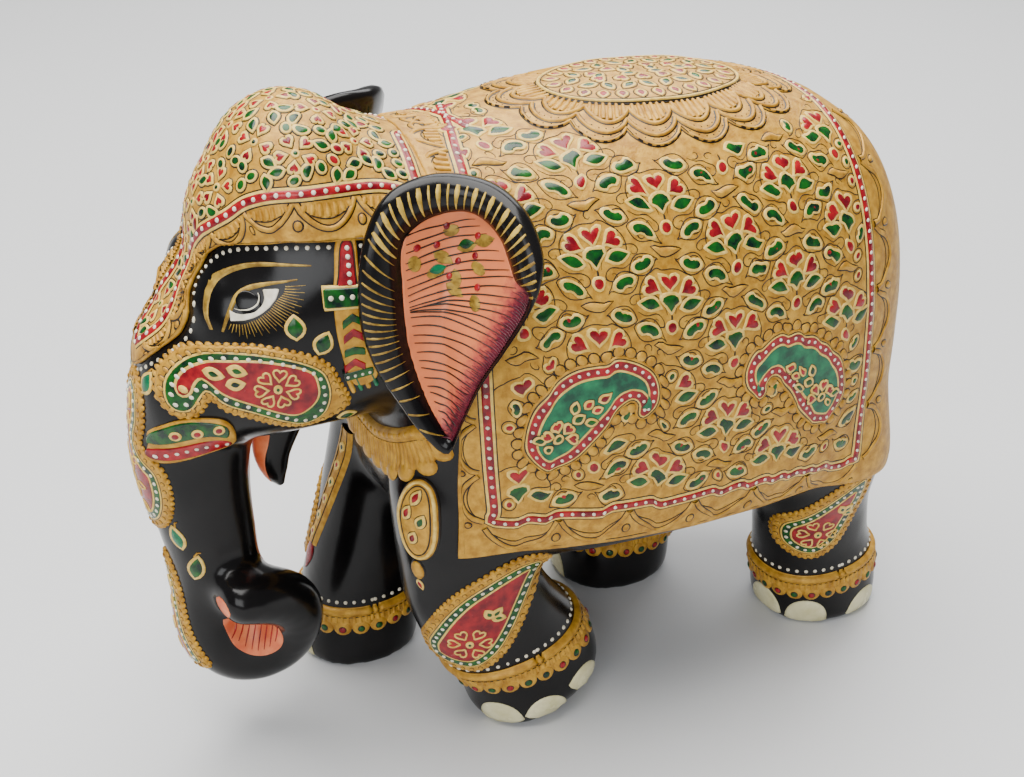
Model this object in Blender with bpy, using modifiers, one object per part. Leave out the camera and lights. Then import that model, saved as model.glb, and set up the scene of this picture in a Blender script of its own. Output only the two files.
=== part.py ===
"""Carved and painted wooden elephant, standing on four flat feet.

One carved block holds the torso, head, trunk and legs. Ears, tail, lip and the raised gesso
ornaments are separate pieces laid on it. Units are metres, +Z is up, the elephant faces -Y and its
left side is at +X. The origin is on the floor, midway between trunk and tail; the stations below
are written a little ahead of it and the whole figure is centred at the end.
"""

import math

import bmesh
import bpy
from mathutils import Matrix, Vector

MM = 0.001

# Driving dimensions, in millimetres.
CENTRING = 1.18
GAP = 0.3
GESSO = 1.2
CLOTH = 1.6
MEDALLION = 0.7
SHEATH = 1.8
ANKLET = 1.3
ANKLET_HEIGHT = 6.5
WOOD_VOXEL = 1.5
WOOD_TRIANGLES = 5400

RING_POINTS = 28


def clear_scene():
    for obj in list(bpy.data.objects):
        bpy.data.objects.remove(obj)


def collection(name):
    made = bpy.data.collections.new(name)
    bpy.context.scene.collection.children.link(made)
    return made


def link_mesh(name, bm, where):
    mesh = bpy.data.meshes.new(name)
    bm.to_mesh(mesh)
    bm.free()
    obj = bpy.data.objects.new(name, mesh)
    where.objects.link(obj)
    return obj


def as_helper(obj):
    obj.hide_render = True
    obj.display_type = "WIRE"
    return obj


def superellipse(angle, power):
    """A point on a unit superellipse; power 2 is a circle, more is squarer."""
    c, s = math.cos(angle), math.sin(angle)
    return (
        math.copysign(abs(c) ** (2 / power), c),
        math.copysign(abs(s) ** (2 / power), s),
    )


def loft(name, sections, where):
    """A closed skin through rings. A section is a list of points in millimetres."""
    bm = bmesh.new()
    rings = [[bm.verts.new(Vector(p) * MM) for p in section] for section in sections]
    for low, high in zip(rings, rings[1:]):
        for i in range(len(low)):
            j = (i + 1) % len(low)
            bm.faces.new((low[i], low[j], high[j], high[i]))
    bm.faces.new(rings[0][::-1])
    bm.faces.new(rings[-1])
    bmesh.ops.recalc_face_normals(bm, faces=bm.faces)
    return link_mesh(name, bm, where)


def upright_section(y, top, bottom, half_width, upper, lower, widest=0.45):
    """A torso or head ring in an XZ plane; upper and lower are the two halves' powers."""
    middle = bottom + (top - bottom) * widest
    ring = []
    for i in range(RING_POINTS):
        angle = 2 * math.pi * i / RING_POINTS
        above = math.sin(angle) > 0
        x, z = superellipse(angle, upper if above else lower)
        ring.append((x * half_width, y, middle + z * (top - middle if above else middle - bottom)))
    return ring


def leg_section(x, y, z, half_x, half_y, tilt=0.0):
    """A leg ring, its rear edge lifted by the tilt in degrees."""
    lean = math.radians(tilt)
    ring = []
    for i in range(RING_POINTS):
        u, v = superellipse(2 * math.pi * i / RING_POINTS, 2.2)
        v *= half_y
        ring.append((x + u * half_x, y + v * math.cos(lean), z + v * math.sin(lean)))
    return ring


def tube(name, points, where, steps=8):
    """A round limb along a smooth path; a point is (x, y, z, radius) in millimetres."""
    curve = bpy.data.curves.new(name, "CURVE")
    curve.dimensions = "3D"
    curve.bevel_depth = MM
    curve.bevel_resolution = 3
    curve.use_fill_caps = True
    curve.resolution_u = steps
    spline = curve.splines.new("NURBS")
    spline.points.add(len(points) - 1)
    for point, (x, y, z, radius) in zip(spline.points, points):
        point.co = (x * MM, y * MM, z * MM, 1)
        point.radius = radius
    spline.order_u = 3
    spline.use_endpoint_u = True
    guide = bpy.data.objects.new(name + "_path", curve)
    where.objects.link(guide)
    bpy.context.view_layer.update()
    graph = bpy.context.evaluated_depsgraph_get()
    mesh = bpy.data.meshes.new_from_object(guide.evaluated_get(graph))
    bpy.data.objects.remove(guide)
    bm = bmesh.new()
    bm.from_mesh(mesh)
    bmesh.ops.remove_doubles(bm, verts=bm.verts, dist=1e-5)
    bm.to_mesh(mesh)
    bm.free()
    obj = bpy.data.objects.new(name, mesh)
    where.objects.link(obj)
    return obj


# Stations are (y, top, bottom, half_width, upper power, lower power, widest share of height).
TORSO = (
    (-44, 127, 66, 15, 2.1, 2.3, 0.5),
    (-41.5, 136, 58, 26, 2.2, 2.6, 0.48),
    (-36, 141.5, 52, 34.5, 2.3, 3.4, 0.45),
    (-28, 144, 48.5, 38.5, 2.3, 4.2, 0.42),
    (-16, 146, 47, 41, 2.4, 4.8, 0.40),
    (0, 147.6, 46.5, 43.5, 2.5, 5.0, 0.40),
    (20, 148.5, 46, 44.5, 2.6, 5.0, 0.38),
    (40, 147.3, 46, 43.5, 2.6, 5.0, 0.38),
    (56, 143.8, 45.5, 41.5, 2.6, 4.6, 0.38),
    (69, 139.8, 45, 38, 2.6, 4.0, 0.40),
    (78, 133.5, 45, 33, 2.6, 3.4, 0.42),
    (84.5, 125, 46, 26, 2.5, 2.8, 0.45),
    (88, 112, 50, 16, 2.3, 2.4, 0.5),
)
HEAD = (
    (-94, 101, 87, 9, 2.1, 2.1),
    (-91, 107, 84, 13, 2.1, 2.1),
    (-84, 117, 84, 18.5, 2.2, 2.2),
    (-77, 127, 84.5, 23, 2.3, 2.3),
    (-66, 139, 84.5, 26.5, 2.3, 2.4),
    (-54, 145, 85, 28.5, 2.3, 2.4),
    (-42, 145.5, 86, 29.5, 2.4, 2.4),
    (-32, 144.5, 86, 29, 2.4, 2.4),
    (-22, 145, 86, 27, 2.4, 2.4),
)
# Rounded masses are (x, y, z, radius_x, radius_y, radius_z): the crown dome and the two brows.
# The hollow inside the trunk's curl, as a centre and three radii.
CURL_HOLLOW = (13, -78.3, 34.5, 7.6, 6.6, 4.7)
MASSES = (
    (0, -57, 131, 22.5, 18, 25),
    (0, -66, 129, 17, 12.5, 17),
    (0, -45, 127, 25, 17, 22),
    (10.5, -74, 116.5, 11, 9.5, 11),
    (-10.5, -74, 116.5, 11, 9.5, 11),
)
# Legs are (x, y, z, half_x, half_y, tilt) from the foot up, in millimetres and degrees.
LEG_FRONT_LEFT = (
    (20.5, -9.2, 2.5, 14.8, 16.8, 24), (20.5, -10.2, 6, 15.7, 18.4, 24),
    (20.5, -12.2, 13, 15.3, 17.8, 24), (20.3, -16.2, 20, 14.2, 17, 22),
    (20.3, -22.5, 29, 14, 16.8, 18), (20.5, -26.8, 40, 14.5, 16.5, 8),
    (22, -28.5, 54, 14.5, 16.5, 0), (22, -30, 70, 14.5, 16, 0), (18, -28, 88, 10, 11, 0),
)
LEG_FRONT_RIGHT = (
    (-19, -43, -4, 15, 15.5), (-19, -43, 4, 15.3, 16), (-19, -42.5, 12, 14.5, 15.5),
    (-19, -41, 22, 13.5, 15), (-20, -36, 40, 13.5, 14.5), (-21, -31, 58, 14, 15),
    (-21, -28, 74, 14, 15), (-18, -26, 88, 10, 11),
)
LEG_BACK_LEFT = (
    (17.5, 77.5, -4, 14.6, 16, 0), (17.5, 77.5, 4, 15.5, 17.3, 3), (17.5, 76.5, 12, 15, 17, 6),
    (18, 74, 22, 13.8, 15.5, 8), (19.5, 71.5, 36, 14, 15, 6), (22.5, 68, 54, 17, 18, 0),
    (22, 65, 72, 16, 18, 0), (18, 63, 88, 10, 12, 0),
)
LEG_BACK_RIGHT = (
    (-19, 33, -4, 15, 16.5), (-19, 33, 4, 15.3, 17), (-19, 34, 12, 14.5, 16.5),
    (-19, 38, 22, 13.5, 15.5), (-20, 46, 38, 14.5, 16), (-22, 54, 56, 16.5, 19),
    (-22, 58, 72, 16, 19), (-18, 60, 88, 10, 12),
)
# The trunk is (x, y, z, radius), hanging from the face, then curling back and up to its tip.
TRUNK = (
    (0, -78, 108, 14), (0, -80.5, 96, 14.5), (0, -84, 84, 13.5), (0, -84, 70, 12),
    (0, -82.5, 56, 11), (0, -82, 44, 10.2), (0, -84, 33, 9.4), (1, -82.5, 24.5, 8.8),
    (3, -76.5, 21.5, 8.3), (6, -69, 25.5, 8), (9.5, -66, 36.5, 7.7), (13, -72, 44.5, 7.3),
    (15.5, -79.5, 47, 6.6), (16.5, -85, 47.5, 5.2),
)


def ellipsoid(name, mass, where):
    x, y, z, rx, ry, rz = mass
    bm = bmesh.new()
    bmesh.ops.create_uvsphere(bm, u_segments=24, v_segments=14, radius=MM)
    bmesh.ops.scale(bm, vec=(rx, ry, rz), verts=bm.verts)
    bmesh.ops.translate(bm, vec=Vector((x, y, z)) * MM, verts=bm.verts)
    return link_mesh(name, bm, where)


def floor_cutter(where):
    """A slab under the floor that planes the four soles flat."""
    bm = bmesh.new()
    bmesh.ops.create_cube(bm, size=1)
    bmesh.ops.scale(bm, vec=(0.2, 0.3, 0.02), verts=bm.verts)
    bmesh.ops.translate(bm, vec=(0, 0, -0.01), verts=bm.verts)
    return as_helper(link_mesh("floor_cutter", bm, where))


# Outlines are closed loops of (across, z) points, smoothed before they are cut.
HEAD_CLOTH_SIDE = (
    (-33.6, 134), (-49, 133.7), (-65, 134.2), (-74, 132.6), (-79, 131), (-104, 131), (-104, 168),
    (-33.6, 168),
)
HEAD_CLOTH_FRONT = (
    (0, 136), (13, 136), (12.5, 132.6), (8.6, 129.3), (6.8, 125), (8.4, 121.5), (11.2, 117.9), (10, 113.4),
    (7.1, 109.2), (3, 105.2), (0, 103.4),
)
SADDLE_SIDE = (
    (-31.6, 168), (-31.6, 140), (-33, 120), (-34.5, 100), (-36, 80), (-36.3, 58.8), (-20, 58.8),
    (3, 57.3), (19, 55.8), (37, 54.2), (56, 52.7), (75, 51.2), (108, 50.5), (108, 168),
)
TEMPLE_STRAP = (
    (-54.2, 132.6), (-49.4, 132.4), (-51.8, 125.6), (-50.2, 125.4), (-50.2, 121.9), (-52.2, 121.7),
    (-51, 105), (-54.2, 102.5), (-57.2, 105.6), (-57.4, 121.8), (-59.4, 122.1), (-59.4, 125.4),
    (-56.8, 125.8),
)
CHEEK_PAISLEY = (
    (-91.7, 99.8), (-90.6, 104.6), (-87, 108.8), (-80.7, 113.7), (-73.8, 113.9), (-66.4, 111.9),
    (-60, 108.6), (-56.6, 104), (-55.6, 98.6), (-57.4, 93.6), (-61, 91.4), (-66, 92.6),
    (-74, 96.2), (-79, 99.6), (-82.9, 100.2), (-86, 97.4), (-89.6, 96.9),
)
TUSK_SHEATH = (
    (-93.4, 86), (-91.6, 92.4), (-88.3, 95.1), (-84, 96.2), (-80.3, 95.6), (-79.2, 91), (-79, 86.2),
    (-85, 84.9),
)
# Front outlines give the left half only, from top to bottom.
TRUNK_UPPER = (
    (0, 101.5), (3.6, 99.5), (5.6, 94), (4.8, 87.5), (5.8, 84), (9.3, 81.3), (10, 77), (9, 71),
    (6.4, 66), (2.6, 63.4), (0, 63),
)
TRUNK_LOWER = ((0, 54.5), (2.6, 51), (3.7, 43), (5.3, 36), (6.3, 30), (6, 25.5), (3, 23.2), (0, 22.8))
BREAST_COLLAR = (
    (0, 79), (10, 80), (20, 83.5), (28, 88.5), (32.5, 88), (31.5, 84), (28.5, 79), (24, 74.5),
    (16, 70), (7.6, 68.1), (0, 68),
)
LEFT_PLAQUE = (29.8, 66.5, 4.2, 9.6)
RIGHT_PLAQUE = (-21, 48, 4.6, 19)
MEDALLION_OVAL = (0, 25, 14.5, 28)
# Leg paisleys are (azimuth of the face, nearest depth) and (centre, z, radius, tip, tip z).
LEG_PAISLEYS = {
    "left_front_paisley": ((-30, 30), (-11.2, 33, 13, 5.5, 49)),
    "left_back_paisley": ((-20, 0), (75, 33, 11.5, 86, 47)),
    "right_front_paisley": ((200, 33), (24, 37, 12, 10, 52)),
    "right_back_paisley": ((180, 22), (-48, 36, 12, -66, 48)),
}
# Anklets are (x, y, z, tilt in degrees) of the ring's centre.
ANKLETS = {
    "left_front_anklet": (20.5, -14.5, 19.8, 16),
    "left_back_anklet": (17.8, 75.5, 14.5, 6),
    "right_front_anklet": (-19, -42, 15.5, 0),
    "right_back_anklet": (-19, 35, 15.5, -4),
}
# Ear outline points are (x, y, z, rim weight) of the left ear, from its lower tip forwards.
EAR_CENTRE = (34.5, -38, 118)
EAR_NORMAL = (0.81, -0.56, 0.17)
EAR_SPREAD = 1.04
EAR_OUTLINE = (
    (40, -40.5, 90.5, 0.5), (37, -44, 95, 0.7), (34.5, -47, 101, 0.9), (32.5, -50.5, 109, 1),
    (31.5, -52.3, 118, 1), (30.5, -52.5, 127, 1), (29, -50.5, 135.5, 1), (28, -46, 141.8, 1),
    (27, -38, 144.2, 1), (28, -31, 143.4, 1), (34, -25.5, 142, 1), (41, -22.5, 138.8, 1),
    (46.5, -22, 133.5, 1), (48.5, -23.5, 128, 0.7), (49, -25.5, 122, 0.45), (47.5, -30.5, 115, 0.4),
    (45.5, -34.5, 107.5, 0.4), (43, -38, 98.5, 0.4),
)
EAR_PROFILE = (
    (0.3, -1.7, 0), (0.62, -1.2, 0), (0.76, -0.4, 0.8), (0.84, 0, 2.2), (0.93, 0, 2.5),
    (1.0, 0, 1.2), (1.0, -0.8, -1.0), (0.92, -2.0, -1.2), (0.6, -3.6, 0), (0.3, -4.2, 0),
)
TAIL = (
    (0, 82.5, 131, 2.0), (0, 89, 123, 2.6), (0, 92.1, 112, 2.7), (0, 92.9, 98, 2.6),
    (0, 93.1, 84, 2.4), (0, 92.9, 70, 2.2), (0, 92.1, 58, 2.0), (0, 91.1, 50, 2.9),
    (0, 90.7, 43, 2.4), (0, 90.7, 38, 0.8),
)
LIP = (
    (0, -60.5, 90, 7.5), (0, -64, 82, 6.6), (0, -66.2, 75, 4.6), (0, -66, 69, 3.0),
    (0, -64.6, 64.5, 1.0),
)


def smooth_loop(points, steps=4):
    """A closed Catmull-Rom loop through the points."""
    count = len(points)
    loop = []
    for i in range(count):
        a, b, c, d = (Vector(points[(i + k) % count]) for k in (-1, 0, 1, 2))
        for j in range(steps):
            t = j / steps
            loop.append(
                0.5
                * (2 * b + (c - a) * t + (2 * a - 5 * b + 4 * c - d) * t ** 2
                   + (3 * b - a - 3 * c + d) * t ** 3)
            )
    return loop


def mirrored_half(points):
    """A whole outline from its left half."""
    inner = [p for p in points if p[0] > 0]
    ends = [p for p in points if p[0] <= 0]
    return [ends[0]] + inner + ends[1:] + [(-x, z) for x, z in reversed(inner)]


def oval(x, z, half_x, half_z, count=28):
    turn = [2 * math.pi * i / count for i in range(count)]
    return [Vector((x + half_x * math.cos(a), z + half_z * math.sin(a))) for a in turn]


def teardrop(x, z, radius, tip_x, tip_z, count=28):
    """A round drop drawn out to a tip."""
    reach = math.hypot(tip_x - x, tip_z - z)
    ahead = Vector(((tip_x - x) / reach, (tip_z - z) / reach))
    side = Vector((-ahead.y, ahead.x))
    loop = []
    for i in range(count):
        a = 2 * math.pi * i / count
        pull = max(0.0, math.cos(a)) ** 2
        width = radius * math.sin(a) * (1 - 0.35 * pull)
        length = math.cos(a) * (radius + (reach - radius) * pull)
        loop.append(Vector((x, z)) + ahead * length + side * width)
    return loop


def prism(name, loop, axis, near, far, where):
    """An outline pushed along X, Y or Z, or along a level direction given in degrees."""
    if axis == "Z":
        out, across, up = Vector((0, 0, 1)), Vector((1, 0, 0)), Vector((0, 1, 0))
    else:
        angle = {"X": 0.0, "Y": -90.0}.get(axis, axis)
        out = Vector((math.cos(math.radians(angle)), math.sin(math.radians(angle)), 0))
        across, up = Vector((-out.y, out.x, 0)), Vector((0, 0, 1))
    sections = []
    for depth in (near, far):
        sections.append([across * p[0] + up * p[1] + out * depth for p in loop])
    return loft(name, sections, where)


def ear_mesh(name, where, side):
    """A cupped ear plate with a rolled rim, lofted round its centre."""
    centre = Vector(EAR_CENTRE)
    normal = Vector(EAR_NORMAL).normalized()
    outline = smooth_loop(EAR_OUTLINE, 2)
    bm = bmesh.new()
    front = bm.verts.new(centre - normal * 1.5)
    back = bm.verts.new(centre - normal * 4.5)
    rings = []
    for share, plain, rolled in EAR_PROFILE:
        ring = []
        for point in outline:
            spoke = point.to_3d() if len(point) == 3 else Vector(point[:3])
            reach = (spoke - centre) * share * EAR_SPREAD
            spot = centre + reach + normal * (plain + rolled * point[3])
            ring.append(bm.verts.new(spot))
        rings.append(ring)
    count = len(outline)
    for i in range(count):
        j = (i + 1) % count
        bm.faces.new((front, rings[0][i], rings[0][j]))
        for low, high in zip(rings, rings[1:]):
            bm.faces.new((low[i], high[i], high[j], low[j]))
        bm.faces.new((rings[-1][i], back, rings[-1][j]))
    bmesh.ops.scale(bm, vec=(side * MM, MM, MM), verts=bm.verts)
    bmesh.ops.recalc_face_normals(bm, faces=bm.faces)
    return link_mesh(name, bm, where)


def material(name, color, roughness, metallic=0.0, coat=0.0):
    made = bpy.data.materials.new(name)
    made.use_nodes = True
    shader = made.node_tree.nodes["Principled BSDF"]
    shader.inputs["Base Color"].default_value = (*color, 1)
    shader.inputs["Roughness"].default_value = roughness
    shader.inputs["Metallic"].default_value = metallic
    shader.inputs["Coat Weight"].default_value = coat
    return made


def boolean(obj, operation, other):
    cut = obj.modifiers.new(operation.lower(), "BOOLEAN")
    cut.operation = operation
    cut.solver = "EXACT"
    cut.object = other


def frozen(obj, where, name):
    """A plain mesh of the object with its modifiers applied."""
    bpy.context.view_layer.update()
    graph = bpy.context.evaluated_depsgraph_get()
    mesh = bpy.data.meshes.new_from_object(obj.evaluated_get(graph))
    bpy.data.objects.remove(obj)
    made = bpy.data.objects.new(name, mesh)
    where.objects.link(made)
    return made


def grown(block, offset, where):
    """The carved block swollen evenly by an offset in millimetres."""
    copy = bpy.data.objects.new("skin_%02d" % round(offset * 10), block.data.copy())
    where.objects.link(copy)
    swell = copy.modifiers.new("swell", "DISPLACE")
    swell.mid_level = 0
    swell.strength = offset * MM
    return as_helper(frozen(copy, where, copy.name))


class Dresser:
    """Cuts the raised layers that lie on the carved block."""

    def __init__(self, block, parts, helpers):
        self.block = block
        self.parts = parts
        self.helpers = helpers
        self.skins = {}

    def skin(self, offset):
        if offset not in self.skins:
            self.skins[offset] = grown(self.block, offset, self.helpers)
        return self.skins[offset]

    def layer(self, name, blank, finish, thickness=GESSO, base=GAP):
        """The blank, kept only where it lies between two swollen skins."""
        blank.name = name
        blank.data.name = name
        boolean(blank, "INTERSECT", self.skin(round(base + thickness, 2)))
        boolean(blank, "DIFFERENCE", self.skin(base))
        blank.data.materials.append(finish)
        return blank


def carve_block(parts, helpers):
    """Fuse torso, head, trunk and legs into one block with flat soles."""
    blanks = [
        loft("torso", [upright_section(*s) for s in TORSO], helpers),
        loft("head", [upright_section(*s) for s in HEAD], helpers),
        tube("trunk", TRUNK, helpers),
    ]
    for leg in (LEG_FRONT_LEFT, LEG_FRONT_RIGHT, LEG_BACK_LEFT, LEG_BACK_RIGHT):
        blanks.append(loft("leg", [leg_section(*s) for s in leg], helpers))
    blanks += [ellipsoid("mass", mass, helpers) for mass in MASSES]
    bm = bmesh.new()
    for blank in blanks:
        bm.from_mesh(blank.data)
        bpy.data.objects.remove(blank)
    block = link_mesh("blank", bm, helpers)
    remesh = block.modifiers.new("fuse", "REMESH")
    remesh.mode = "VOXEL"
    remesh.voxel_size = WOOD_VOXEL * MM
    smooth = block.modifiers.new("blend", "SMOOTH")
    smooth.factor = 0.5
    smooth.iterations = 24
    block = frozen(block, helpers, "blank")
    thin = block.modifiers.new("thin", "DECIMATE")
    thin.ratio = WOOD_TRIANGLES / (2 * len(block.data.polygons))
    thin.use_collapse_triangulate = True
    boolean(block, "DIFFERENCE", as_helper(ellipsoid("curl_hollow", CURL_HOLLOW, helpers)))
    boolean(block, "DIFFERENCE", floor_cutter(helpers))
    return frozen(block, parts, "carved_block")


def dress_head(dresser, gilt, red, green):
    helpers, parts = dresser.helpers, dresser.parts
    cap = prism("head_cloth", HEAD_CLOTH_SIDE, "X", -40, 40, parts)
    tongue = prism("tongue", mirrored_half(HEAD_CLOTH_FRONT), "Y", 60, 100, helpers)
    boolean(cap, "UNION", as_helper(tongue))
    dresser.layer("head_cloth", cap, gilt)
    for side, near, far in (("left", 4, 42), ("right", -42, -4)):
        strap = prism("strap", TEMPLE_STRAP, "X", near, far, parts)
        dresser.layer(side + "_temple_strap", strap, red)
        cheek = prism("cheek", smooth_loop(CHEEK_PAISLEY, 2), "X", near, far, parts)
        dresser.layer(side + "_cheek_paisley", cheek, red)
        sheath = prism("sheath", smooth_loop(TUSK_SHEATH, 3), "X", near, far, parts)
        dresser.layer(side + "_tusk_sheath", sheath, green, SHEATH)
    for name, half in (("trunk_upper_paisley", TRUNK_UPPER), ("trunk_lower_paisley", TRUNK_LOWER)):
        blank = prism(name, smooth_loop(mirrored_half(half), 2), "Y", 83, 108, parts)
        dresser.layer(name, blank, red)


def dress_body(dresser, gilt, red):
    parts = dresser.parts
    saddle = prism("saddle_cloth", SADDLE_SIDE, "X", -60, 60, parts)
    dresser.layer("saddle_cloth", saddle, gilt, CLOTH)
    oval_blank = prism("back_medallion", oval(*MEDALLION_OVAL), "Z", 120, 170, parts)
    dresser.layer("back_medallion", oval_blank, red, MEDALLION, round(2 * GAP + CLOTH, 2))
    collar = prism("collar", smooth_loop(mirrored_half(BREAST_COLLAR), 2), "Y", 30, 60, parts)
    dresser.layer("breast_collar", collar, gilt)


def dress_legs(dresser, gilt, red):
    parts = dresser.parts
    plaque = prism("plaque", oval(*LEFT_PLAQUE), "Y", 32, 60, parts)
    dresser.layer("left_leg_plaque", plaque, gilt)
    plaque = prism("plaque", oval(*RIGHT_PLAQUE), "Y", 38, 70, parts)
    dresser.layer("right_leg_plaque", plaque, gilt)
    for name, ((angle, near), drop) in LEG_PAISLEYS.items():
        dresser.layer(name, prism(name, teardrop(*drop), angle, near, near + 32, parts), red)
    for name, (x, y, z, tilt) in ANKLETS.items():
        bm = bmesh.new()
        bmesh.ops.create_cube(bm, size=1)
        bmesh.ops.scale(bm, vec=(0.0368, 0.046, ANKLET_HEIGHT * MM), verts=bm.verts)
        lean = Matrix.Rotation(math.radians(tilt), 3, "X")
        bmesh.ops.rotate(bm, matrix=lean, verts=bm.verts)
        bmesh.ops.translate(bm, vec=Vector((x, y, z)) * MM, verts=bm.verts)
        dresser.layer(name, link_mesh(name, bm, parts), gilt, ANKLET)


def fit_ears(dresser, lacquer):
    """Both ears, relieved to clear the block and everything laid on it."""
    notch = (
        (-110, 50), (-49.2, 50), (-49.2, 131.5), (-37, 131.5), (-37, 50), (110, 50), (110, 170),
        (-110, 170),
    )
    dressed = as_helper(prism("dressed", notch, "X", -70, 70, dresser.helpers))
    boolean(dressed, "INTERSECT", dresser.skin(2.2))
    for name, side in (("left_ear", 1), ("right_ear", -1)):
        ear = ear_mesh(name, dresser.parts, side)
        boolean(ear, "DIFFERENCE", dresser.skin(GAP))
        boolean(ear, "DIFFERENCE", dressed)
        ear.data.materials.append(lacquer)


def fit_tail_and_lip(dresser, lacquer, pink):
    tail = tube("tail", TAIL, dresser.parts, 4)
    boolean(tail, "DIFFERENCE", dresser.skin(2.2))
    tail.data.materials.append(lacquer)
    lip = tube("lower_lip", LIP, dresser.parts, 4)
    bm = bmesh.new()
    bm.from_mesh(lip.data)
    bmesh.ops.scale(bm, vec=(0.85, 1, 1), verts=bm.verts)
    bm.to_mesh(lip.data)
    bm.free()
    boolean(lip, "DIFFERENCE", dresser.skin(GAP))
    lip.data.materials.append(pink)


def main():
    clear_scene()
    parts = collection("painted_elephant")
    helpers = collection("helpers")
    lacquer = material("black_lacquer", (0.012, 0.012, 0.014), 0.18, 0, 0.6)
    gilt = material("gilt_gesso", (0.72, 0.46, 0.16), 0.38, 0.5)
    red = material("red_enamel", (0.5, 0.03, 0.035), 0.25, 0, 0.5)
    green = material("green_enamel", (0.02, 0.2, 0.07), 0.25, 0, 0.5)
    pink = material("salmon_paint", (0.8, 0.3, 0.18), 0.35)
    block = carve_block(parts, helpers)
    block.data.materials.append(lacquer)
    dresser = Dresser(block, parts, helpers)
    dress_head(dresser, gilt, red, green)
    dress_body(dresser, gilt, red)
    dress_legs(dresser, gilt, red)
    fit_ears(dresser, lacquer)
    fit_tail_and_lip(dresser, lacquer, pink)
    for obj in bpy.data.objects:
        obj.data.transform(Matrix.Translation((0, CENTRING * MM, 0)))


main()
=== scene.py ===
"""A carved, lacquered and gilded wooden elephant on a pale studio floor.

The wood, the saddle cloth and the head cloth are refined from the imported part. The painted relief
is drawn on charts of those surfaces, as small raised pieces: enamel drops in cream-gold rims, thin
black brush lines and rows of white dots. Chart coordinates are millimetres.
"""

import functools
import math

import bmesh
import bpy
import numpy as np
from mathutils import Matrix, Vector
from mathutils.bvhtree import BVHTree
from mathutils.geometry import delaunay_2d_cdt

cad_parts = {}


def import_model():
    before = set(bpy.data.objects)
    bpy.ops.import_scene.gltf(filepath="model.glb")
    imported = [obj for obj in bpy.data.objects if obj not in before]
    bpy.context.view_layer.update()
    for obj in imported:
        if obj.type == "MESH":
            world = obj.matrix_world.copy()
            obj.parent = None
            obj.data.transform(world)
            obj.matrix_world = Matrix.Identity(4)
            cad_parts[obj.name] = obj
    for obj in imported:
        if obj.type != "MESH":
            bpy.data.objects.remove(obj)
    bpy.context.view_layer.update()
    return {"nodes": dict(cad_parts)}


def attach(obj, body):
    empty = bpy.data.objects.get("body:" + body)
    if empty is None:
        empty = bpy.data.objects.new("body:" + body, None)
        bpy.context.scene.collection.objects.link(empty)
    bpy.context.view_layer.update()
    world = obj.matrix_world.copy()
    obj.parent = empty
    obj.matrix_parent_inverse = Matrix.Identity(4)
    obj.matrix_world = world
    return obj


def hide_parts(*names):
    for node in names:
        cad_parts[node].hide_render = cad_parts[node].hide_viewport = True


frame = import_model()

MM = 0.001
Y0 = 1.18  # the part's centring shift along Y
VIEW = np.array([0.7849, -0.366, 0.5])  # from the elephant towards the viewer
rng = np.random.default_rng(563)


# ---------------------------------------------------------------- materials
def nodes_of(name):
    """A new node material with its nodes, links and shader."""
    mat = bpy.data.materials.new(name)
    mat.use_nodes = True
    tree = mat.node_tree
    return mat, tree.nodes, tree.links, tree.nodes["Principled BSDF"]


def noise(nodes, links, coord, scale, detail=3.0):
    """Noise in the object's own coordinates."""
    made = nodes.new("ShaderNodeTexNoise")
    made.inputs["Scale"].default_value = scale
    made.inputs["Detail"].default_value = detail
    made.inputs["Roughness"].default_value = 0.55
    links.new(coord.outputs["Object"], made.inputs["Vector"])
    return made


def ramp(nodes, links, source, stops):
    """A colour ramp fed by a source, from stops of place and colour."""
    made = nodes.new("ShaderNodeValToRGB")
    links.new(source, made.inputs["Fac"])
    elements = made.color_ramp.elements
    while len(elements) > 1:
        elements.remove(elements[-1])
    for i, (pos, color) in enumerate(stops):
        element = elements[0] if i == 0 else elements.new(pos)
        element.position = pos
        element.color = (*color, 1)
    return made


def paint(name, dark, light, scale, rough, metallic=0.0, bump=0.0, bump_scale=2500,
          rough_swing=0.08, spec=0.35):
    """An enamel or gilt finish whose colour, gloss and surface all drift with noise."""
    mat, nodes, links, shader = nodes_of(name)
    coord = nodes.new("ShaderNodeTexCoord")
    tone = noise(nodes, links, coord, scale, 4.0)
    color = ramp(nodes, links, tone.outputs["Fac"], ((0.35, dark), (0.68, light)))
    links.new(color.outputs["Color"], shader.inputs["Base Color"])
    gloss = nodes.new("ShaderNodeMapRange")
    gloss.inputs["To Min"].default_value = rough - rough_swing
    gloss.inputs["To Max"].default_value = rough + rough_swing
    wear = noise(nodes, links, coord, scale * 1.7, 2.0)
    links.new(wear.outputs["Fac"], gloss.inputs["Value"])
    links.new(gloss.outputs["Result"], shader.inputs["Roughness"])
    shader.inputs["Metallic"].default_value = metallic
    shader.inputs["Specular IOR Level"].default_value = spec
    if bump:
        grain = noise(nodes, links, coord, bump_scale, 3.0)
        lift = nodes.new("ShaderNodeBump")
        lift.inputs["Strength"].default_value = bump
        lift.inputs["Distance"].default_value = 0.0002
        links.new(grain.outputs["Fac"], lift.inputs["Height"])
        links.new(lift.outputs["Normal"], shader.inputs["Normal"])
    return mat


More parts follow.
